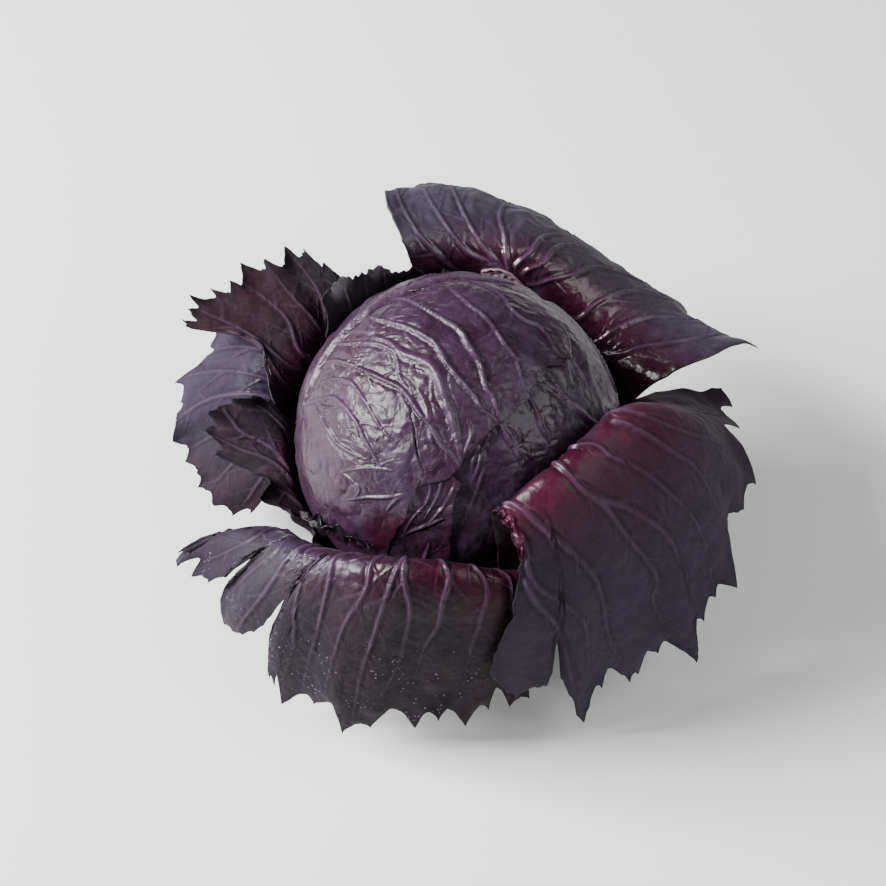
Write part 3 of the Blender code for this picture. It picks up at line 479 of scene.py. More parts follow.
def leaf_lines(leaf, t):
    """Radius and height down each column t: an arc r (cos a, sin a) about the head's middle, where a
    grows evenly up to the elevation 'leave', and then a Bezier curve to the margin.

    Also gives the length run so far, a share of length plus weighted bend, and the turning row."""
    ball = HEAD_RADIUS + leaf["gap"] * MM
    leave = np.radians(through(leaf["leave"], t))
    start = np.arcsin((STEM_RADIUS + LEAF_CLEARANCE) / ball) - np.pi / 2
    share = np.linspace(0, 1, LINE_STEPS)[:, None]
    angle = start + (leave - start) * share
    reach = ball + leaf["flare"] * MM * share**2
    arc = np.stack([reach * np.cos(angle), HEAD_HEIGHT + reach * np.sin(angle)])
    way = arc[:, -1] - arc[:, -2]
    way = way / np.linalg.norm(way, axis=0)
    margin = np.stack([through(leaf["radius"], t), through(leaf["height"], t)]) * MM
    far = np.linalg.norm(margin - arc[:, -1], axis=0)
    droop = np.radians(through(leaf["droop"], t))
    drop = np.stack([np.cos(droop), -np.sin(droop)])
    b = np.linspace(0, 1, 2 * LINE_STEPS)[1:, None]
    curve = bezier(arc[:, None, -1], (arc[:, -1] + through(leaf["arch"], t) * far * way)[:, None],
                   (margin - through(leaf["fall"], t) * far * drop)[:, None], margin[:, None], b)
    line = np.concatenate([arc, curve], axis=1)
    step = np.diff(line, axis=1)
    run = np.linalg.norm(step, axis=0)
    heading = np.unwrap(np.arctan2(step[1], step[0]), axis=0)
    bend = np.abs(np.diff(heading, axis=0, prepend=heading[:1]))
    zero = np.zeros((1, len(t)))
    length = np.concatenate([zero, np.cumsum(run, axis=0)])
    measure = np.concatenate([zero, np.cumsum(run + BEND_WEIGHT * bend, axis=0)])
    return line, length, measure / measure[-1], LINE_STEPS - 1


def leaf_sheet(leaf, s, t):
    """The smooth leaf: lines down it, each turned about the stem to an azimuth that spreads from the
    leaf's middle to the station's own, and then to the margin's."""
    line, _, share, turn = leaf_lines(leaf, t)
    rho = by_column(s, share, line[0])
    height = by_column(s, share, line[1])
    at_turn = share[turn]
    middle = through(leaf["turn"], np.zeros(1))[0]
    turned = through(leaf["turn"], t)
    out = through(leaf["out"], t)
    spread = 0.45 + 0.55 * smoothstep(s / (0.8 * at_turn))
    drift = smoothstep((s - 0.6 * at_turn) / (1 - 0.6 * at_turn))
    bow = np.sin(np.pi * np.clip((s - at_turn) / (1 - at_turn), 0, 1))**2
    azimuth = np.radians(middle + (turned - middle) * spread + (out - turned) * drift + through(leaf["bow"], t) * bow)
    return np.stack([rho * np.cos(azimuth), rho * np.sin(azimuth), height], -1)


def free_blade(leaf, s, t):
    """0 where the leaf hugs the head, 1 out on its free blade."""
    share, turn = leaf_lines(leaf, t)[2:]
    return smoothstep((s - 0.9 * share[turn]) / (0.35 * (1 - share[turn])))


def unit(v):
    return v / np.maximum(np.linalg.norm(v, axis=-1), 1e-12)[..., None]


# %% [markdown]
# ## Torn margins
#
# Between a tip and a bay the outline follows a power of a sine, so tips are sharp and bays round.
# Small teeth from a few sines break it up. Every tip and bay gets a column of the grid of its own,
# and the rows crowd gently towards the margin, so the slits stay clean.


# %% Margins and grids
def margin_short(leaf, t):
    """Metres short of the outline: tip + (bay - tip) (0.6 sin(pi/2 x)^0.8 + 0.4 x), x from the tip, plus
    small teeth."""
    places, short = np.array(leaf["margin"], float).T
    i = np.clip(np.searchsorted(places, t, side="right") - 1, 0, len(places) - 2)
    x = (t - places[i]) / (places[i + 1] - places[i])
    from_tip = np.where(short[i] < short[i + 1], x, 1 - x)
    tip = np.minimum(short[i], short[i + 1])
    bay = np.maximum(short[i], short[i + 1])
    teeth = np.abs(2.0 * waves(30 * t, 0 * t, leaf["seed"] + 5)) + 0.7 * waves(100 * t, 0 * t, leaf["seed"] + 6) - 1
    side = 0.6 * np.sin(np.pi / 2 * from_tip)**0.8 + 0.4 * from_tip
    return (tip + (bay - tip) * side + np.maximum(teeth * np.sin(np.pi * from_tip)**0.5, -0.8)) * MM


def leaf_grid(leaf):
    """Columns t, and rows s(u) = u calm + u^2.6 (edge - calm), where calm is a smoothed lowest edge."""
    rows, columns = leaf["grid"]
    t = np.linspace(-1, 1, columns)
    for place, _ in leaf["margin"]:
        t[np.argmin(np.abs(t - place))] = place
    _, length, share, _ = leaf_lines(leaf, t)
    edge = by_column((length[-1] - margin_short(leaf, t))[None], length, share)[0]
    reach = 9
    for blend in (np.min, np.mean, np.mean):
        calm = edge if blend is np.min else calm
        padded = np.pad(calm, reach, mode="edge")
        calm = blend([padded[k:k + columns] for k in range(2 * reach + 1)], axis=0)
    calm = np.minimum(calm, edge)
    u = np.linspace(0, 1, rows)[:, None]
    u = u**0.8
    return u * calm + u**2.6 * (edge - calm), t


# %% [markdown]
# ## Veins
#
# The main veins are drawn, and smaller ones fork from them by rule, first to one side and
# then to the other, as on a real leaf. A vein is a row of sample points with a width and a height.
# With x = (distance / width)^2 to the nearest, the ridge at a point of the leaf is the bell
# height (1 - 1.2 x) exp(-x), so every vein has a fine groove beside it, tapers smoothly and runs
# into its parent without a seam.


# %% Vein paths
def vein_path(points, steps):
    """A smooth line through the given places, as (across, along)."""
    x = np.linspace(-1, 1, steps)
    places = np.array(points, float)
    return np.stack([through(places[:, 0], x), through(places[:, 1], x)], -1)


def stretch_of(leaf, t, s):
    """Metres per unit across and per unit along, at scattered places."""
    small = 0.004
    here = leaf_sheet(leaf, s[None], t)
    across = np.linalg.norm(leaf_sheet(leaf, s[None], t + small) - here, axis=-1)[0] / small
    along = np.linalg.norm(leaf_sheet(leaf, s[None] + small, t) - here, axis=-1)[0] / small
    return across, along


FORK_EVERY = 0.011          # metres between forks on one side of a vein
FORK_LENGTH = 0.024
FORK_STEPS = 12
VEIN_SIGHT = 0.012          # how far from a vein its pull on the blade is still felt
BLOCK = 12


def forks_of(leaf, paths, draw, every, long_as):
    """Side veins: each leaves its parent at 35 to 60 degrees and bends back towards the parent's way."""
    starts = []
    for path in paths:
        across, along = stretch_of(leaf, path[:, 0], path[:, 1])
        step = np.diff(path, axis=0) * np.stack([across, along], -1)[1:]
        walked = np.concatenate([[0], np.cumsum(np.linalg.norm(step, axis=1))])
        where = np.arange(every * 0.8, walked[-1] - every * 0.5, every)
        where = where + draw.uniform(-0.3, 0.3, len(where)) * every
        for count, at in enumerate(where):
            k = min(np.searchsorted(walked, at), len(step) - 1)
            heading = np.arctan2(step[k, 1], step[k, 0])
            side = 1 if count % 2 else -1
            taper = 0.55 + 0.45 * np.sin(np.pi * at / walked[-1])
            starts.append((*path[k], heading + side * draw.uniform(0.6, 1.05), -side * draw.uniform(0.25, 0.6),
                           long_as * taper * draw.uniform(0.6, 1.2)))
    if not starts:
        return []
    t, s, heading, bend, reach = np.array(starts).T
    lines = [np.stack([t, s], -1)]
    for number in range(FORK_STEPS - 1):
        across, along = stretch_of(leaf, np.clip(t, -1, 1), np.clip(s, 0.02, 0.98))
        step = reach / (FORK_STEPS - 1)
        turned = heading + bend * number / FORK_STEPS
        t = t + step * np.cos(turned) / across
        s = s + step * np.sin(turned) / along
        lines.append(np.stack([t, s], -1))
    return list(np.clip(np.stack(lines, 1), (-1, 0.02), (1, 1)))


def leaf_veins(leaf):
    """All sample points of a leaf's veins with their half widths and heights in metres."""
    draw = np.random.default_rng(leaf["seed"])
    main = [vein_path(points, 110) for points in leaf["veins"]]
    second = forks_of(leaf, main, draw, FORK_EVERY, FORK_LENGTH)
    third = forks_of(leaf, second, draw, 0.0065, 0.009)
    places, widths, heights = [], [], []
    for paths, width, height, last, steps in ((main, 1.9, 1.35, 0.45, 110), (second, 0.95, 0.5, 0.4, 32),
                                              (third, 0.6, 0.22, 0.5, 12)):
        if not paths:
            continue
        share = np.linspace(0, 1, steps)
        fine = np.stack([[np.interp(share, np.linspace(0, 1, len(path)), path[:, k]) for k in (0, 1)] for path in paths])
        taper = 1 - (1 - last) * share
        places.append(fine.transpose(0, 2, 1).reshape(-1, 2))
        widths.append(np.tile(width * MM * taper, len(paths)))
        heights.append(np.tile(height * MM * taper, len(paths)))
    places = np.concatenate(places)
    return leaf_sheet(leaf, places[None, :, 1], places[:, 0])[0], np.concatenate(widths), np.concatenate(heights)


def vein_field(points, veins):
    """Ridge height at every point, and the distance to the nearest vein, up to VEIN_SIGHT. The grid is
    taken in blocks, and each block looks only at the samples near it."""
    route, width, height = veins
    ridge = np.zeros(points.shape[:2])
    near = np.full(points.shape[:2], VEIN_SIGHT)
    for i in range(0, points.shape[0], BLOCK):
        for j in range(0, points.shape[1], BLOCK):
            part = points[i:i + BLOCK, j:j + BLOCK]
            centre = part.mean((0, 1))
            span = np.linalg.norm(part - centre, axis=-1).max() + VEIN_SIGHT
            close = ((route - centre)**2).sum(1) < span**2
            if not close.any():
                continue
            gap = ((part[:, :, None] - route[close])**2).sum(-1)
            bell = gap / width[close]**2
            best = bell.argmin(-1)
            x = bell.min(-1)
            ridge[i:i + BLOCK, j:j + BLOCK] = height[close][best] * (1 - 1.2 * x) * np.exp(-x)
            near[i:i + BLOCK, j:j + BLOCK] = np.minimum(np.sqrt(gap.min(-1)), VEIN_SIGHT)
    return ridge, near


# %% [markdown]
# ## A leaf as a thin closed solid
#
# The upper face is the smooth sheet moved by ruffles, by a curl along the margin and by the puffed
# quilting between veins. The lower face is the upper one moved along its own normals by the
# thickness, which is greatest on the midrib and thins to a dry edge. Rim faces join them.

# %% Leaf surface
BLADE = 0.95 * MM
EDGE = 0.45 * MM
FLOOR_CLEARANCE = 0.0022


def grid_normals(points):
    """Unit normals of a grid: the cross product of its steps across and along."""
    return unit(np.cross(np.gradient(points, axis=1), np.gradient(points, axis=0)))


def leaf_faces_of(leaf):
    """Upper and lower points of a leaf and its marks."""
    s, t = leaf_grid(leaf)
    tt = np.broadcast_to(t, s.shape)
    sheet = leaf_sheet(leaf, s, t)
    normal = grid_normals(sheet)
    free = free_blade(leaf, s, t)
    ridge, near = vein_field(sheet, leaf_veins(leaf))

    down = np.linalg.norm(np.diff(sheet, axis=0), axis=-1)
    length = np.concatenate([np.zeros((1, len(t))), np.cumsum(down, axis=0)])
    between = np.linspace(0, 1, 8, endpoint=False)[:, None, None]
    line = (sheet[-1, :-1] * (1 - between) + sheet[-1, 1:] * between).reshape(-1, 3)
    to_margin = vein_field(sheet, (line, np.full(len(line), MM), np.zeros(len(line))))[1]
    level = np.linspace(0, 1, 60)[:, None] + 0 * t
    wide = np.linalg.norm(np.diff(leaf_sheet(leaf, level, t), axis=1), axis=-1)
    across = np.concatenate([np.zeros((len(level), 1)), np.cumsum(wide, axis=1)], axis=1)
    middle = np.stack([np.interp(0, t, row) for row in across])[:, None]
    walk = by_column(s, level, across - middle)
    first, last = (by_column(s, level, across[:, k:k + 1 or None] - middle + 0 * level) for k in (0, -1))

    tall, swings, phase = leaf["ruffle"]
    swing = np.pi * swings * tt + phase
    ruffle = tall * MM * smoothstep((s - 0.55) / 0.45) * free * (np.cos(swing + 1.5 * s) + 0.4 * np.cos(2.3 * swing + 2))
    small = 0.9 * MM * waves(walk / (7 * MM), length / (12 * MM), leaf["seed"] + 1) * np.exp(-(to_margin / (7 * MM))**2) * free
    from_low, from_high = walk - first, last - walk
    torn = [1.5 * MM * np.abs(waves(length / (3.2 * MM), 0 * length, leaf["seed"] + k)) * np.exp(-(side / (5 * MM))**2)
            for k, side in ((7, from_low), (8, from_high))]
    ragged = unit(np.gradient(sheet, axis=1)) * ((torn[0] - torn[1]) * (0.5 + 0.5 * free))[..., None]
    lumps = 0.7 * MM * waves(walk / (11 * MM), length / (14 * MM), leaf["seed"]) * free
    puff = leaf["puff"] * MM * (1 - np.exp(-(near / (5.5 * MM))**2)) * (0.35 + 0.65 * free)

    zone = 9 * MM
    inside = np.clip(zone - to_margin, 0, None)
    turn = leaf["curl"] / MM * (0.55 * np.cos(swing * 1.7 + 1) + 0.75 * waves(walk / (8 * MM), 0 * walk, leaf["seed"] + 2)) * free
    turn = np.where(np.abs(turn) < 1, 1, turn)
    along = unit(np.gradient(sheet, axis=0))
    bent = np.clip(turn * inside, -1.5, 1.5)
    curl = along * (np.sin(bent) / turn - inside)[..., None] - normal * ((1 - np.cos(bent)) / turn)[..., None]

    middle_face = sheet + normal * (ruffle + small + lumps - puff)[..., None] + curl + ragged
    low = middle_face[..., 2]
    soft = 2 * MM
    middle_face[..., 2] = FLOOR_CLEARANCE + soft * np.logaddexp(0, (low - FLOOR_CLEARANCE) / soft)
    normal = grid_normals(middle_face)
    edge = np.exp(-(to_margin / (3 * MM)))
    midrib = (2.4 * MM) * np.exp(-(walk / (4.5 * MM))**2) * (1 - smoothstep(s / 0.85))
    thick = EDGE + (BLADE - EDGE) * (1 - edge) + midrib * (leaf["gap"] > 2.5)
    upper = middle_face - normal * (ridge * (0.25 + 0.75 * free) * (1 - 0.6 * edge))[..., None]
    lower = middle_face + normal * (thick + 0.8 * ridge)[..., None]
    lower[..., 2] = np.maximum(lower[..., 2], 0.3 * MM)

    vein = np.clip(ridge / MM, 0, 1) * (0.35 + 0.65 * free)
    vein = np.maximum(vein, np.exp(-(walk / (3.5 * MM))**2) * (1 - smoothstep((s - 0.3) / 0.4)))
    flush = through(leaf["flush"], tt) * np.exp(-((s - 0.62) / 0.085)**2) + 0.75 * (1 - smoothstep((s - 0.25) / 0.3))
    # Wax over the leaf, partly a painted highlight.
    wax_and_highlight = through(leaf["wax_and_highlight"], tt) * (0.12 + 0.88 * smoothstep((s - leaf.get("wax_from", 0.56)) / 0.18))
    flush = np.maximum(flush, leaf.get("lip", 0) * np.exp(-(from_low / (5 * MM))**2) * np.exp(-((s - 0.62) / 0.09)**2))
    # Painted shade in the fine groove beside each vein. The rim mark is darker towards the margin and along the torn
    # sides, and takes this painted shade too.
    beside = 0.5 * np.clip(-ridge / (0.16 * MM), 0, 1) * free
    rim_and_shade = np.maximum(np.maximum(np.exp(-to_margin / (1.6 * MM)), beside), 0.9 * np.exp(-np.minimum(from_low, from_high) / (1.2 * MM)) * (0.5 + 0.5 * free))
    matt = smoothstep((s - through(leaf["matt"], tt)) / 0.18)
    matt = np.maximum(matt, 0.8 * (1 - smoothstep((s - 0.3) / 0.2)))
    # Painted highlight: a band of wax colour along the crest, on the leaf's left half, merged into the wax mark.
    painted_crest_highlight = leaf.get("painted_crest_highlight", 0) * np.exp(-((s - 0.63) / 0.045)**2) * smoothstep((0.25 - tt) / 0.5)
    wax_and_highlight = np.maximum(wax_and_highlight, painted_crest_highlight)
    speck = leaf.get("specks", 0) * smoothstep((s - 0.74) / 0.08)
    return upper, lower, dict(vein=vein, flush=np.clip(flush, 0, 1), wax_and_highlight=wax_and_highlight, rim_and_shade=0.9 * rim_and_shade, matt=matt, speck=speck)


def closed_slab(name, upper, lower, marks, material):
    """A mesh from two grids: the upper faces towards minus the grid's normal, the lower the other way."""
    rows, columns = upper.shape[:2]
    a = np.arange(rows * columns).reshape(rows, columns)
    b = a + rows * columns

    def ring(p, q, r, v):
        return np.stack([p.ravel(), q.ravel(), r.ravel(), v.ravel()], -1)

    faces = np.concatenate([
        ring(a[:-1, :-1], a[1:, :-1], a[1:, 1:], a[:-1, 1:]),
        ring(b[:-1, :-1], b[:-1, 1:], b[1:, 1:], b[1:, :-1]),
        ring(a[1:, 0], a[:-1, 0], b[:-1, 0], b[1:, 0]),
        ring(a[:-1, -1], a[1:, -1], b[1:, -1], b[:-1, -1]),
        ring(a[-1, 1:], a[-1, :-1], b[-1, :-1], b[-1, 1:]),
        ring(a[0, :-1], a[0, 1:], b[0, 1:], b[0, :-1])])
    points = np.concatenate([upper.reshape(-1, 3), lower.reshape(-1, 3)])
    doubled = {key: np.concatenate([value.ravel(), value.ravel()]) for key, value in marks.items()}
    return marked_mesh(name, points, faces, doubled, material)


def marked_mesh(name, points, faces, marks, material):
    """A smooth-shaded object from whole arrays, with a number at each point for every mark."""
    mesh = bpy.data.meshes.new(name)
    mesh.vertices.add(len(points))
    mesh.vertices.foreach_set("co", points.astype(np.float32).ravel())
    corners = faces.shape[1]
    mesh.loops.add(faces.size)
    mesh.loops.foreach_set("vertex_index", faces.astype(np.int32).ravel())
    mesh.polygons.add(len(faces))
    mesh.polygons.foreach_set("loop_start", np.arange(0, faces.size, corners, dtype=np.int32))
    mesh.update(calc_edges=True)
    for key, value in marks.items():
        mesh.attributes.new(key, "FLOAT", "POINT").data.foreach_set("value", value.astype(np.float32))
    mesh.shade_smooth()
    mesh.materials.append(material)
    item = bpy.data.objects.new(name, mesh)
    bpy.context.scene.collection.objects.link(item)
    return item


# %% Make the outer leaves
GLOSSY_LEAVES = ("leaf_back_right", "leaf_back")
for name, leaf in LEAVES.items():
    upper, lower, marks = leaf_faces_of(leaf)
    piece = closed_slab("skin_" + name, upper, lower, marks, GLOSSY_SKIN if name in GLOSSY_LEAVES else SKIN)
    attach(piece, "root")
    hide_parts(name)
    print(name, "grid", upper.shape[:2], "lowest point, mm:", round(float(lower[..., 2].min()) / MM, 2))

# %% [markdown]
# ## The covering leaves of the head
#
# The head is wrapped so tightly that only the ribs and margins of its covering leaves tell it from
# a ball. Each one is drawn in polar numbers about its own base: a bearing and a distance in
# degrees. Its margin lifts off by a millimetre or two and is torn, and ribs stand out in ridges.

# %% Covers of the head
COVERS = {
    "top": dict(base=(187, 18), skin=74.4, grid=(180, 460), crowded=(-45, 100, 0.72), lift=0.5, seed=2, wax_and_highlight=0.8, blush=(83, 55, 11),
                bearing=(0, 4, 6, 8, 10, 13, 15, 17, 19, 22, 26, 29, 33, 37, 40, 46, 52, 56, 61, 68, 74, 77, 82,
                         90, 120, 150, 180, 210, 240, 270, 300, 325, 336, 345, 353),
                reach=(112.5, 111, 104, 108, 100, 100.5, 101, 97, 94, 93, 89, 86, 82, 79, 77, 73.5, 69, 61, 59.5, 58.5,
                       58, 57, 56.5, 57, 61, 70, 85, 85, 82, 82, 95, 105, 107, 111, 113)),
    "front": dict(base=(257, 28), skin=75.0, grid=(80, 260), crowded=(-60, 120, 0.5), lift=0.8, seed=5, wax_and_highlight=0.5,
                  bearing=(0, 5, 10, 17, 22, 28, 34, 39, 43, 49, 64, 84, 110, 135, 163, 175, 184, 196, 207, 218, 236, 272,
                           324, 339, 350),
                  reach=(15.5, 17.4, 18.3, 17.7, 16.3, 15.7, 15.9, 16.3, 14.1, 11.6, 9.3, 8.6, 9.5, 12, 24, 36, 46, 40,
                         26, 12.2, 8.2, 5.9, 7.1, 10.6, 14.5)),
    "right": dict(base=(338, 22), skin=73.4, grid=(130, 300), crowded=(-110, 40, 0.55), lift=0.5, seed=7, wax_and_highlight=1.0,
                  bearing=(0, 40, 90, 140, 180, 220, 260, 285, 300, 315, 335),
                  reach=(54, 58, 62, 75, 85, 85, 86, 86, 80, 68, 60)),
    "back": dict(base=(70, 15), skin=72.9, grid=(90, 240), crowded=(-90, 90, 0.5), lift=1.0, seed=9, wax_and_highlight=0.5,
                 bearing=(0, 45, 90, 135, 180, 225, 270, 315), reach=(52, 58, 60, 72, 80, 72, 60, 55)),
}
# Each rib: half width and height in mm, and then places on it as bearing and distance
HEAD_VEINS = {
    "top": ((2.9, 1.9, ((-38, 3), (-38, 20), (-38, 45), (-37, 70), (-34, 98))),
            (1.5, 1.5, ((-38, 18), (-28, 24), (-13, 29.3), (8, 40.3), (14, 45.7), (18, 50.1), (23, 53.5), (29, 57), (34, 61.1),
                        (40, 64.8), (44, 69.2), (48, 72.5))),
            (2.7, 1.5, ((-14, 43), (-6, 48), (2, 51.6), (6, 55.7), (10, 60.4), (15, 63.1), (21, 64.6), (26, 66.2), (32, 68.4),
                        (38, 70.1), (45, 72.2))),
            (1.3, 1.0, ((-38, 30), (-25, 33.3), (-10, 42.7), (-4, 46.8), (1, 49.5), (8, 50.1), (14, 50.6), (19, 53))),
            (1.7, 1.6, ((-38, 39), (-32, 44), (-22, 47.5), (-14, 51.8), (-8, 56.1), (-2, 60.5), (2, 63.3), (7, 65.2),
                        (11, 66.5), (15, 68.9), (19, 71.9), (23, 75.1), (27, 77.4), (29, 80), (31, 82.4))),
            (1.9, 1.5, ((-38, 53), (-32, 57), (-23, 60.5), (-10, 66.9), (-6, 69.9), (-2, 72.5), (3, 73.9), (7, 75.5), (11, 77.1),
                        (16, 78.1), (20, 79), (23, 81.2), (27, 82.5), (31, 84))),
            (1.4, 1.0, ((-38, 67), (-29, 72.2), (-21, 75.3), (-15, 77.4), (-10, 80.5), (-5, 82.9), (0, 84.8), (5, 86.9),
                        (8, 89.2), (12, 90.2), (17, 91.3), (21, 92.5))),
            (1.3, 1.0, ((-37, 78), (-31, 81.3), (-27, 85.2), (-22, 89.3), (-15, 91), (-10, 93.5), (-8, 96.7), (-7, 100.2),
                        (-3, 102.7), (2, 105.1), (7, 107.5))),
            (1.5, 1.0, ((-38, 5), (-12, 9), (0, 13.1), (12, 22.7), (21, 27.5), (28, 31.2), (36, 35.4), (43, 38.4), (49, 42.5),
                        (54, 45.5))),
            (1.4, 0.9, ((6, 12.1), (25, 15.3), (40, 20.6), (49, 26.6), (52, 33.9), (53, 39.8))),
            (1.2, 0.8, ((-38, 11), (-17, 17.6), (-6, 23.6), (5, 30.2), (11, 33), (19, 36.1), (27, 39.4), (33, 42.2), (39, 46.3),
                        (43, 51.3))),
            (0.8, 0.5, ((-71, 7.4), (-1, 12.4), (14, 16), (21, 22.7))),
            (1.2, 0.7, ((67, 31.4), (61, 36), (56, 42.7), (54, 50.5))), (1.0, 0.6, ((67, 31.5), (68, 36.3), (70, 40.1), (78, 39))),
            (1.1, 0.7, ((82, 36.8), (72, 43.5), (67, 50.2), (61, 57.5))), (1.3, 0.7, ((73, 51.4), (66, 53.7), (63, 56))),
            (1.0, 0.5, ((3, 76.2), (0, 81.4), (-4, 85.3), (-6, 92.6))), (1.6, 0.5, ((-37, 35.5), (-21, 41.4), (-13, 47.9))),
            (1.0, 0.5, ((-28, 56.2), (-30, 63.7), (-26, 69.7))), (1.7, 0.8, ((20, 56.8), (26, 59.2), (32, 60.4), (40, 62))),
            (1.3, 0.7, ((31, 73.1), (35, 74.6), (40, 73.8), (44, 72.6))),
            (1.4, 1.0, ((-42, 20), (-70, 34), (-90, 50), (-100, 70))), (1.4, 1.0, ((-42, 40), (-64, 56), (-80, 76))),
            (1.4, 1.0, ((-40, 60), (-56, 74), (-66, 92))), (1.5, 1.0, ((180, 12), (175, 40), (160, 66))),
            (1.4, 0.9, ((-140, 14), (-150, 40), (-160, 74)))),
    "front": ((1.3, 0.9, ((-146, 12.5), (-155, 8.4), (177, 5), (123, 4.4), (99, 5.8))),
              (1.0, 0.6, ((-7, 13.2), (3, 8.8), (-9, 3.4), (-126, 5.2), (-146, 12.5))),
              (1.1, 0.6, ((34, 14.5), (42, 10.5), (68, 4.9), (180, 5.9))), (1.0, 0.6, ((9, 16.7), (18, 11.7), (25, 6.4), (-172, 2.1))),
              (1.5, 1.0, ((184, 44), (180, 24), (170, 12)))),
    "right": ((1.5, 1.0, ((-26, 52), (-31, 47.7), (-34, 45.8), (-38, 43.2), (-45, 40.2), (-51, 38.5))),
              (1.4, 0.9, ((-8, 42), (-14, 39.2), (-21, 35.1), (-29, 32.3), (-37, 29))), (1.0, 0.7, ((7, 37), (3, 30.6), (-2, 26), (-9, 20.9))),
              (1.3, 1.0, ((31, 36), (31, 31), (31, 26), (26, 21.2), (27, 16.4))), (0.9, 0.6, ((49, 24.9), (54, 20.4), (65, 17.6))),
              (0.9, 0.7, ((-31, 47.7), (-31, 43.8), (-34, 40.8), (-38, 39.8), (-40, 42.1))),
              (0.9, 0.7, ((-40, 39.7), (-41, 36.9), (-46, 35.7), (-45, 31.4), (-43, 29.1))),
              (1.2, 0.8, ((-58, 57), (-51, 54), (-43, 52.1), (-36, 50.5))), (1.1, 0.7, ((-76, 64.5), (-67, 57.9), (-55, 52.9), (-45, 51.4))),
              (1.2, 0.8, ((-41, 54.1), (-47, 55.3), (-53, 56))), (2.4, 1.4, ((180, 76), (180, 40), (150, 12), (0, 20), (0, 50))),
              (1.4, 0.9, ((180, 50), (100, 30), (75, 50))), (1.4, 0.9, ((180, 40), (-120, 34), (-95, 60)))),
    "back": ((2.6, 1.6, ((180, 72), (180, 30), (170, 8), (0, 20), (0, 48))), (1.4, 1.0, ((180, 44), (120, 34), (80, 54))),
             (1.4, 1.0, ((180, 26), (60, 24), (45, 50))), (1.4, 1.0, ((180, 44), (-120, 34), (-80, 54))),
             (1.4, 1.0, ((180, 26), (-60, 24), (-45, 50)))),
}
# Cracks and creases: half width and depth in mm, and their places
HEAD_SEAMS = {
    "top": ((0.55, 1.3, ((29, 54.3), (36, 55.7), (42, 56.8), (47, 58.4), (52, 61.4))),
            (0.45, 0.7, ((-13, 27.8), (8, 38.8), (14, 44.2), (18, 48.6), (23, 52), (29, 55.5), (34, 59.6), (40, 63.4), (44, 67.8), (48, 71))),
            (0.40, 0.5, ((-4, 45.6), (1, 48), (8, 48.8), (14, 49.4))), (0.45, 0.6, ((2, 62.2), (7, 64), (11, 65.3), (15, 67.7), (19, 70.6))),
            (0.40, 0.5, ((25, 14), (40, 19.4), (49, 25.4), (53, 33))), (0.35, 0.4, ((33, 41), (39, 45), (43, 50))),
            (0.40, 0.5, ((-1, 14), (14, 17.5), (21, 24))), (0.40, 0.5, ((28, 30), (36, 34), (43, 37), (49, 41)))),
    "front": ((0.4, 0.5, ((-146, 13.5), (-157, 9.4), (179, 6.2), (126, 5.6), (103, 6.8))),),
    "right": ((0.4, 0.6, ((-31, 42.8), (-34, 39.8), (-38, 38.8), (-41, 41.4))), (0.4, 0.6, ((-40, 38.9), (-41, 36), (-46, 34.7), (-45, 30.8))),
              (0.4, 0.5, ((1.5, 30.6), (-3.5, 26), (-10.5, 20.9)))),
    "back": ((0.4, 0.4, ((100, 10), (80, 30))),),
}


def on_head(base, bearing, distance, radius):
    """A point at a bearing and distance in degrees from a base place on a ball of that radius:
    radius (cos d out + sin d (cos b up + sin b right))."""
    azimuth, elevation = np.radians(base)
    way = np.radians(bearing)
    far = np.radians(distance)
    out = np.array([np.cos(azimuth) * np.cos(elevation), np.sin(azimuth) * np.cos(elevation), np.sin(elevation)])
    up = np.array([-np.cos(azimuth) * np.sin(elevation), -np.sin(azimuth) * np.sin(elevation), np.cos(elevation)])
    right = np.array([-np.sin(azimuth), np.cos(azimuth), 0])
    side = np.cos(way)[..., None] * up + np.sin(way)[..., None] * right
    ray = np.cos(far)[..., None] * out + np.sin(far)[..., None] * side
    return ray * np.asarray(radius)[..., None] + np.array([0, 0, HEAD_HEIGHT])


def on_ball_path(points, ball, steps):
    """A smooth line through places given as points, pressed back on a ball of that radius."""
    x = np.linspace(-1, 1, steps)
    middle = np.array([0, 0, HEAD_HEIGHT])
    line = np.stack([through(points[:, k], x) for k in range(3)], -1)
    return unit(line - middle) * ball + middle


def ball_forks(line, ball, every, long_as, draw):
    """Short side veins that leave a rib on both sides in turn and bend back along it."""
    walked = np.concatenate([[0], np.cumsum(np.linalg.norm(np.diff(line, axis=0), axis=1))])
    found = []
    for count, at in enumerate(np.arange(every * 0.7, walked[-1] - every * 0.4, every)):
        k = min(np.searchsorted(walked, at + draw.uniform(-0.3, 0.3) * every), len(line) - 2)
        out = unit(line[k] - np.array([0, 0, HEAD_HEIGHT]))
        ahead = unit(line[k + 1] - line[k])
        aside = np.cross(out, ahead) * (1 if count % 2 else -1)
        lean = draw.uniform(0.6, 1.05)
        u = np.linspace(0, 1, 4)[:, None]
        way = np.cos(lean * (1 - 0.4 * u)) * ahead + np.sin(lean * (1 - 0.4 * u)) * aside
        found.append(on_ball_path(line[k] + long_as * draw.uniform(0.6, 1.2) * u * way, ball, 16))
    return found


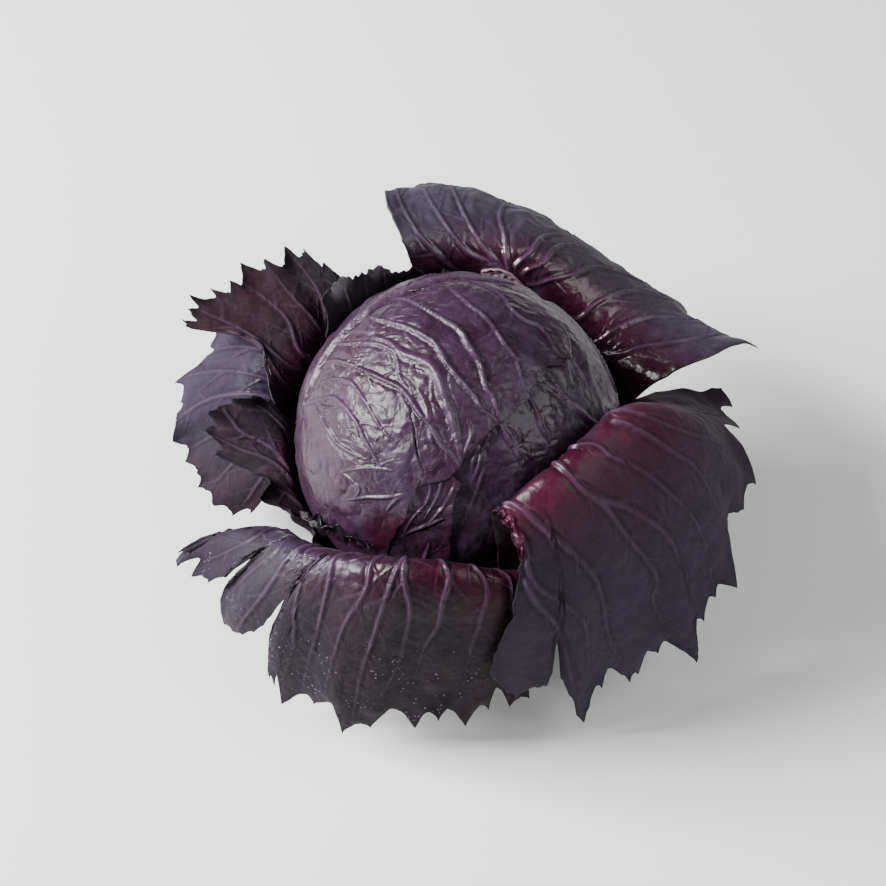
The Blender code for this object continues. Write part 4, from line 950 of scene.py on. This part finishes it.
def head_lines(table, cover, draw, forks):
    """Sample points, half widths and heights of the ribs or seams of a covering leaf."""
    ball = cover["skin"] * MM
    rows = []
    for width, height, points in table:
        bearing, distance = np.array(points, float).T
        line = on_ball_path(on_head(cover["base"], bearing, distance, np.full(len(points), ball)), ball, 110)
        swell = np.sin(np.pi * np.linspace(0.06, 0.94, 110))**0.5
        rows.append((line, width * swell, height * swell))
        if forks:
            for second in ball_forks(line, ball, 0.013, 0.018, draw):
                rows.append((second, 0.9 * np.linspace(1, 0.4, 16), 0.40 * height * np.linspace(1, 0.4, 16)))
                for third in ball_forks(second, ball, 0.007, 0.008, draw):
                    rows.append((third[::2], np.full(8, 0.55), np.full(8, 0.18 * height)))
    return [np.concatenate([row[k] for row in rows]) * (1 if k == 0 else MM) for k in range(3)]


def cover_piece(key, cover):
    """Outer face: rings round the base at skin radius plus ribs, quilting and a lifted margin. The
    inner face runs back a millimetre deeper on a few coarse rings."""
    rings, spokes = cover["grid"]
    draw = np.random.default_rng(cover["seed"])
    start, end, share = cover["crowded"]
    bearing = np.interp(np.arange(spokes) / spokes, (0, share, 1), (start, end, start + 360))
    reach = np.interp(bearing, cover["bearing"], cover["reach"], period=360)
    torn = 0.5 * waves(bearing / 2.3, 0 * bearing, cover["seed"]) + 0.35 * waves(bearing / 0.9, 0 * bearing, cover["seed"] + 1)
    ends = smoothstep((180 - np.abs(bearing - start - 180)) / 12)
    reach = reach + torn * ends * np.clip(reach / 60, 0.4, 1)
    share = np.linspace(0.004, 1, rings)[:, None]**0.9
    distance = share * reach
    round_ = np.broadcast_to(bearing, distance.shape)
    ball = cover["skin"] * MM
    base = on_head(cover["base"], round_, distance, np.full_like(distance, ball))
    ridge, near = vein_field(base, head_lines(HEAD_VEINS[key], cover, draw, True))
    groove = vein_field(base, head_lines(HEAD_SEAMS[key], cover, draw, False))[0]
    to_margin = vein_field(base, (base[-1], np.full(spokes, MM), np.zeros(spokes)))[1]
    edge = np.exp(-to_margin / (4.5 * MM))
    flat = base / (10 * MM)
    lumps = 0.55 * MM * waves(flat[..., 0] + 0.6 * flat[..., 1], flat[..., 2], cover["seed"] + 3)
    lumps = lumps + 0.32 * MM * waves(2.6 * flat[..., 0] + 0.9 * flat[..., 1], 2.4 * flat[..., 2] - flat[..., 1], cover["seed"] + 6)
    puff = 0.9 * MM * (1 - np.exp(-(near / (6 * MM))**2)) - 0.6 * MM
    lift = cover["lift"] * MM * edge * (0.6 + 0.5 * waves(bearing / 5, 0 * bearing, cover["seed"] + 4))
    radius = ball + (ridge + puff + lumps) * (1 - 0.5 * edge) + lift - groove
    room = 1.4 + 1.5 * smoothstep((base[..., 2] - HEAD_HEIGHT - 12 * MM) / (15 * MM))
    radius = np.minimum(radius, HEAD_RADIUS + room * MM)
    outer = on_head(cover["base"], round_, distance, radius)

    thin = 0.7 * MM
    inner_rings = np.r_[rings - 1, np.linspace(rings - 8, 2, 7).astype(int)]
    depth = np.r_[thin, np.full(7, 1.6 * MM)][:, None]
    inner = on_head(cover["base"], round_[inner_rings], distance[inner_rings], radius[inner_rings] - depth)
    poles = on_head(cover["base"], np.zeros(2), np.zeros(2), np.array([radius[0].mean(), radius[0].mean() - 2 * MM]))
    points = np.concatenate([outer.reshape(-1, 3), inner.reshape(-1, 3), poles])
    count = rings + len(inner_rings)
    index = np.arange(count * spokes).reshape(count, spokes)
    chain = index[np.r_[0:rings, rings:count]]
    here, there = chain[:-1], chain[1:]
    quads = np.stack([here, there, np.roll(there, -1, 1), np.roll(here, -1, 1)], -1).reshape(-1, 4)
    first, last = chain[0], chain[-1]
    top = np.full(spokes, count * spokes)
    bottom = top + 1
    caps = np.concatenate([np.stack([top, first, np.roll(first, -1)], -1), np.stack([bottom, np.roll(last, -1), last], -1)])
    faces = np.concatenate([quads[:, [0, 1, 2]], quads[:, [0, 2, 3]], caps])

    vein = np.clip(ridge / (1.1 * MM), 0, 1)
    low = smoothstep((HEAD_HEIGHT - 0.004 - outer[..., 2]) / 0.05)
    flush = np.clip(0.8 * low + 0.1, 0, 1)
    blush_and_shade = 0 * low
    if "blush" in cover:
        at, far, wide = cover["blush"]
        away = np.linalg.norm(base - on_head(cover["base"], np.array([at]), np.array([far]), np.array([ball])), axis=-1)
        # A magenta blush at a bay of the cover, darkened there as painted shade.
        blush_and_shade = np.exp(-(away / (wide * MM))**2)
        flush = np.maximum(flush, 0.8 * blush_and_shade)
    wax_and_highlight = cover["wax_and_highlight"] * (1 - 0.7 * low) * np.clip(1 - 1.4 * flush, 0, 1)
    # Dark line at the margin, partly a dried edge and partly a painted shadow of the lifted margin; painted shade in
    # the cracks and creases, in the grooves beside ribs and in the bay.
    rim_and_shade = np.maximum(np.exp(-to_margin / (0.6 * MM)), np.clip(groove / (0.45 * MM), 0, 1))
    rim_and_shade = np.maximum(rim_and_shade, np.maximum(0.4 * np.clip(-ridge / (0.2 * MM), 0, 1), 0.7 * blush_and_shade))
    marks = {}
    for mark, value in dict(vein=vein, flush=flush, wax_and_highlight=wax_and_highlight, rim_and_shade=rim_and_shade).items():
        marks[mark] = np.concatenate([value.ravel(), value[inner_rings].ravel(), [value[0].mean()] * 2])
    return marked_mesh("head_cover_" + key, points, faces, marks, HEAD_SKIN)


for key, cover in COVERS.items():
    piece = cover_piece(key, cover)
    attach(piece, "root")
    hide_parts("head")
    print("cover", key, len(piece.data.polygons), "triangles")

# %% [markdown]
# ## The head under its covers
#
# Where the covers gape, the next leaf shows, dark and magenta. A ball a little under the covers
# stands for all those leaves, with the same skin and no wax.


# %% Inner ball
def inner_ball(radius, rows, columns):
    """radius (cos e cos a, cos e sin a, sin e), from the flat under the head to the top."""
    elevation = np.linspace(np.radians(-69), np.radians(89), rows)[:, None]
    azimuth = np.linspace(0, 2 * np.pi, columns, endpoint=False)[None]
    lumps = 0.4 * MM * waves(5 * azimuth * np.cos(elevation), 9 * elevation, 31)
    r = radius + lumps
    ball = np.stack([r * np.cos(elevation) * np.cos(azimuth), r * np.cos(elevation) * np.sin(azimuth),
                     HEAD_HEIGHT + r * np.sin(elevation)], -1)
    index = np.arange(rows * columns).reshape(rows, columns)
    low, high = index[:-1], index[1:]
    quads = np.stack([low, np.roll(low, -1, 1), np.roll(high, -1, 1), high], -1).reshape(-1, 4)
    points = np.concatenate([ball.reshape(-1, 3), [[0, 0, ball[0, :, 2].mean()], [0, 0, HEAD_HEIGHT + radius]]])
    bottom, top = rows * columns, rows * columns + 1
    caps = np.concatenate([np.stack([np.full(columns, bottom), np.roll(index[0], -1), index[0]], -1),
                           np.stack([np.full(columns, top), index[-1], np.roll(index[-1], -1)], -1)])
    faces = np.concatenate([quads[:, [0, 1, 2]], quads[:, [0, 2, 3]], caps])
    low_down = smoothstep((HEAD_HEIGHT - points[:, 2]) / 0.06)
    marks = dict(vein=0 * low_down, flush=0.35 + 0.6 * low_down, wax_and_highlight=0 * low_down + 0.05, rim_and_shade=0 * low_down)
    return marked_mesh("head_inner", points, faces, marks, HEAD_SKIN)


ball_piece = inner_ball(0.0715, 80, 160)
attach(ball_piece, "root")
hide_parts("head")
print("inner ball", len(ball_piece.data.polygons), "triangles")

# %% [markdown]
# ## Torn and dried bits
#
# Small things give the eye its scale: the snapped midrib of the far leaf, the torn lip of the right
# leaf, and the dried, crinkled fringe between the left leaf and the head. Each is a ribbon along a
# path. Points cross it at path + side w(u) v, and are lifted by a crinkle; side is up x way.


# %% Ribbons
def ribbon(name, places, up, half_width, crinkle, thick, marks, material, steps=(90, 14)):
    """A thin closed ribbon along a smooth line through the given points. crinkle(u, v) is a lift."""
    u = np.linspace(0, 1, steps[0])
    path = np.stack([through(places[:, k], 2 * u - 1) for k in range(3)], -1)
    up_line = unit(np.stack([through(up[:, k], 2 * u - 1) for k in range(3)], -1))
    side = unit(np.cross(up_line, unit(np.gradient(path, axis=0))))
    v = np.linspace(-1, 1, steps[1])[None]
    uu = u[:, None]
    upper = path[:, None] + side[:, None] * (half_width(uu) * v)[..., None] + up_line[:, None] * crinkle(uu, v)[..., None]
    lower = upper - up_line[:, None] * thick
    numbers = {mark: np.full(v.shape, 0.0) + value + 0 * uu for mark, value in marks.items()}
    return closed_slab(name, upper, lower, numbers, material)


def leaf_spot(key, spots):
    """Points of a leaf's smooth sheet at (across, along), and the direction that its visible face looks."""
    t, s = np.array(spots, float).T
    leaf = LEAVES[key]
    small = 0.004
    here = leaf_sheet(leaf, s[None], t)[0]
    across = leaf_sheet(leaf, s[None], t + small)[0] - here
    along = leaf_sheet(leaf, s[None] + small, t)[0] - here
    return here, -unit(np.cross(across, along))


def head_spot(azimuth, elevation, radius):
    """Points round the head, and the direction away from its middle."""
    a, e = np.radians(azimuth), np.radians(elevation)
    out = np.stack([np.cos(e) * np.cos(a), np.cos(e) * np.sin(a), np.sin(e)], -1)
    return out * np.asarray(radius)[:, None] + np.array([0, 0, HEAD_HEIGHT]), out


flesh = plain_material("leaf_flesh_torn", (0.17, 0.10, 0.13), 0.6)
here, facing = leaf_spot("leaf_back_right", ((0.46, 0.53), (0.36, 0.53), (0.26, 0.525), (0.17, 0.505), (0.08, 0.48)))
snapped = ribbon("torn_midrib_far", here + facing * 1.2 * MM, facing, lambda u: 2.9 * MM * np.sin(np.pi * u)**0.7 + 0.2 * MM,
                 lambda u, v: 0.9 * MM * (np.abs(v)**6 - 0.5 * (1 - v**2)) + 0.25 * MM * waves(40 * u, 5 * v, 41), 1.1 * MM, {}, flesh)
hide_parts("leaf_back_right")

here, out = head_spot(np.array([207, 217, 225, 233, 241]), np.array([-6, 3, 7, 10, 12]), np.full(5, 0.0805))
fringe = ribbon("dried_fringe_left", here, out, lambda u: (4.2 + 1.6 * np.sin(23 * u) + 1.2 * np.sin(41 * u)) * MM * np.sin(np.pi * u)**0.5,
                lambda u, v: 1.5 * MM * waves(26 * u, 2.2 * v, 43), 0.5 * MM, dict(vein=0, flush=0.05, wax_and_highlight=0.12, rim_and_shade=0.75), SKIN, (160, 18))
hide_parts("leaf_left")

here, facing = leaf_spot("leaf_right", ((-0.985, 0.585), (-0.975, 0.62), (-0.985, 0.66), (-0.975, 0.7), (-0.985, 0.74)))
lip = ribbon("torn_lip_right", here + facing * 0.8 * MM, facing, lambda u: (2.2 + 0.9 * np.sin(19 * u)) * MM * np.sin(np.pi * u)**0.5,
             lambda u, v: 0.8 * MM * waves(34 * u, 3 * v, 47), 0.6 * MM, dict(vein=0.2, flush=0.8, wax_and_highlight=0.0, rim_and_shade=0.0), SKIN, (120, 12))
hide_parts("leaf_right")

for piece in (snapped, fringe, lip):
    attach(piece, "root")
print("torn bits:", snapped.name, fringe.name, lip.name)

# %% [markdown]
# ## The stem
#
# The stump is cut flat. Its side is pale green-white with brown scars where leaves were snapped
# off, and its cut face is drier, with a ring under the bark and a paler pith.


# %% Stem
def stem_material():
    material = bpy.data.materials.new("stem_flesh_cut")
    material.use_nodes = True
    tree = Tree(material)
    across = tree.nodes.new("ShaderNodeVectorMath")
    across.operation = "MULTIPLY"
    across.inputs[1].default_value = (1, 1, 0)
    tree.links.new(tree.place, across.inputs[0])
    radius = tree.nodes.new("ShaderNodeVectorMath")
    radius.operation = "LENGTH"
    tree.links.new(across.outputs[0], radius.inputs[0])
    ring = tree.span(radius.outputs["Value"], 0.0, STEM_RADIUS)
    mottle = tree.noise(160, 4, 0.6)
    pith = tree.mix(tree.span(ring, 0.55, 0.8), (0.62, 0.58, 0.46), (0.46, 0.42, 0.30))
    bark = tree.mix(tree.span(ring, 0.86, 0.95), pith, (0.30, 0.19, 0.24))
    colour = tree.mix(tree.span(mottle, 0.45, 0.75, 0.0, 0.6), bark, (0.27, 0.18, 0.11))
    tree.links.new(colour, tree.shader.inputs["Base Color"])
    tree.shader.inputs["Roughness"].default_value = 0.62
    tree.links.new(tree.bump(tree.noise(500, 4, 0.6), 0.0004, 0.5), tree.shader.inputs["Normal"])
    return material


def stem_piece():
    """A turned profile with shallow leaf scars: radius = stem radius - rounding at both ends + 0.22 mm sin(3 a + h /
    1.1 mm) - 0.4 mm, 26 rows up the side.
    """
    rows, columns = 26, 96
    height = np.linspace(0, 0.0219, rows)[:, None]
    azimuth = np.linspace(0, 2 * np.pi, columns, endpoint=False)[None]
    soft = 0.0008 * (np.exp(-height / 0.0007) + np.exp(-(0.0219 - height) / 0.0007))
    scars = 0.00022 * np.sin(3 * azimuth + height / 0.0011) - 0.0004
    r = STEM_RADIUS - soft + scars
    side = np.stack([r * np.cos(azimuth), r * np.sin(azimuth), height + 0 * azimuth], -1)
    inward = np.linspace(0.85, 0.15, 6)[:, None]
    bottom = side[0] * np.stack([inward, inward, 1 + 0 * inward], -1)
    top = side[-1] * np.stack([inward, inward, 1 + 0 * inward], -1)
    sheet = np.concatenate([bottom[::-1], side, top])
    count = len(sheet)
    index = np.arange(count * columns).reshape(count, columns)
    low, high = index[:-1], index[1:]
    quads = np.stack([low, np.roll(low, -1, 1), np.roll(high, -1, 1), high], -1).reshape(-1, 4)
    points = np.concatenate([sheet.reshape(-1, 3), [[0, 0, 0], [0, 0, 0.0219]]])
    a, b = count * columns, count * columns + 1
    caps = np.concatenate([np.stack([np.full(columns, a), np.roll(index[0], -1), index[0]], -1),
                           np.stack([np.full(columns, b), index[-1], np.roll(index[-1], -1)], -1)])
    faces = np.concatenate([quads[:, [0, 1, 2]], quads[:, [0, 2, 3]], caps])
    return marked_mesh("stem_stump", points, faces, {}, stem_material())


stump = stem_piece()
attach(stump, "root")
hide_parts("stem")
print("stem", len(stump.data.polygons), "triangles")
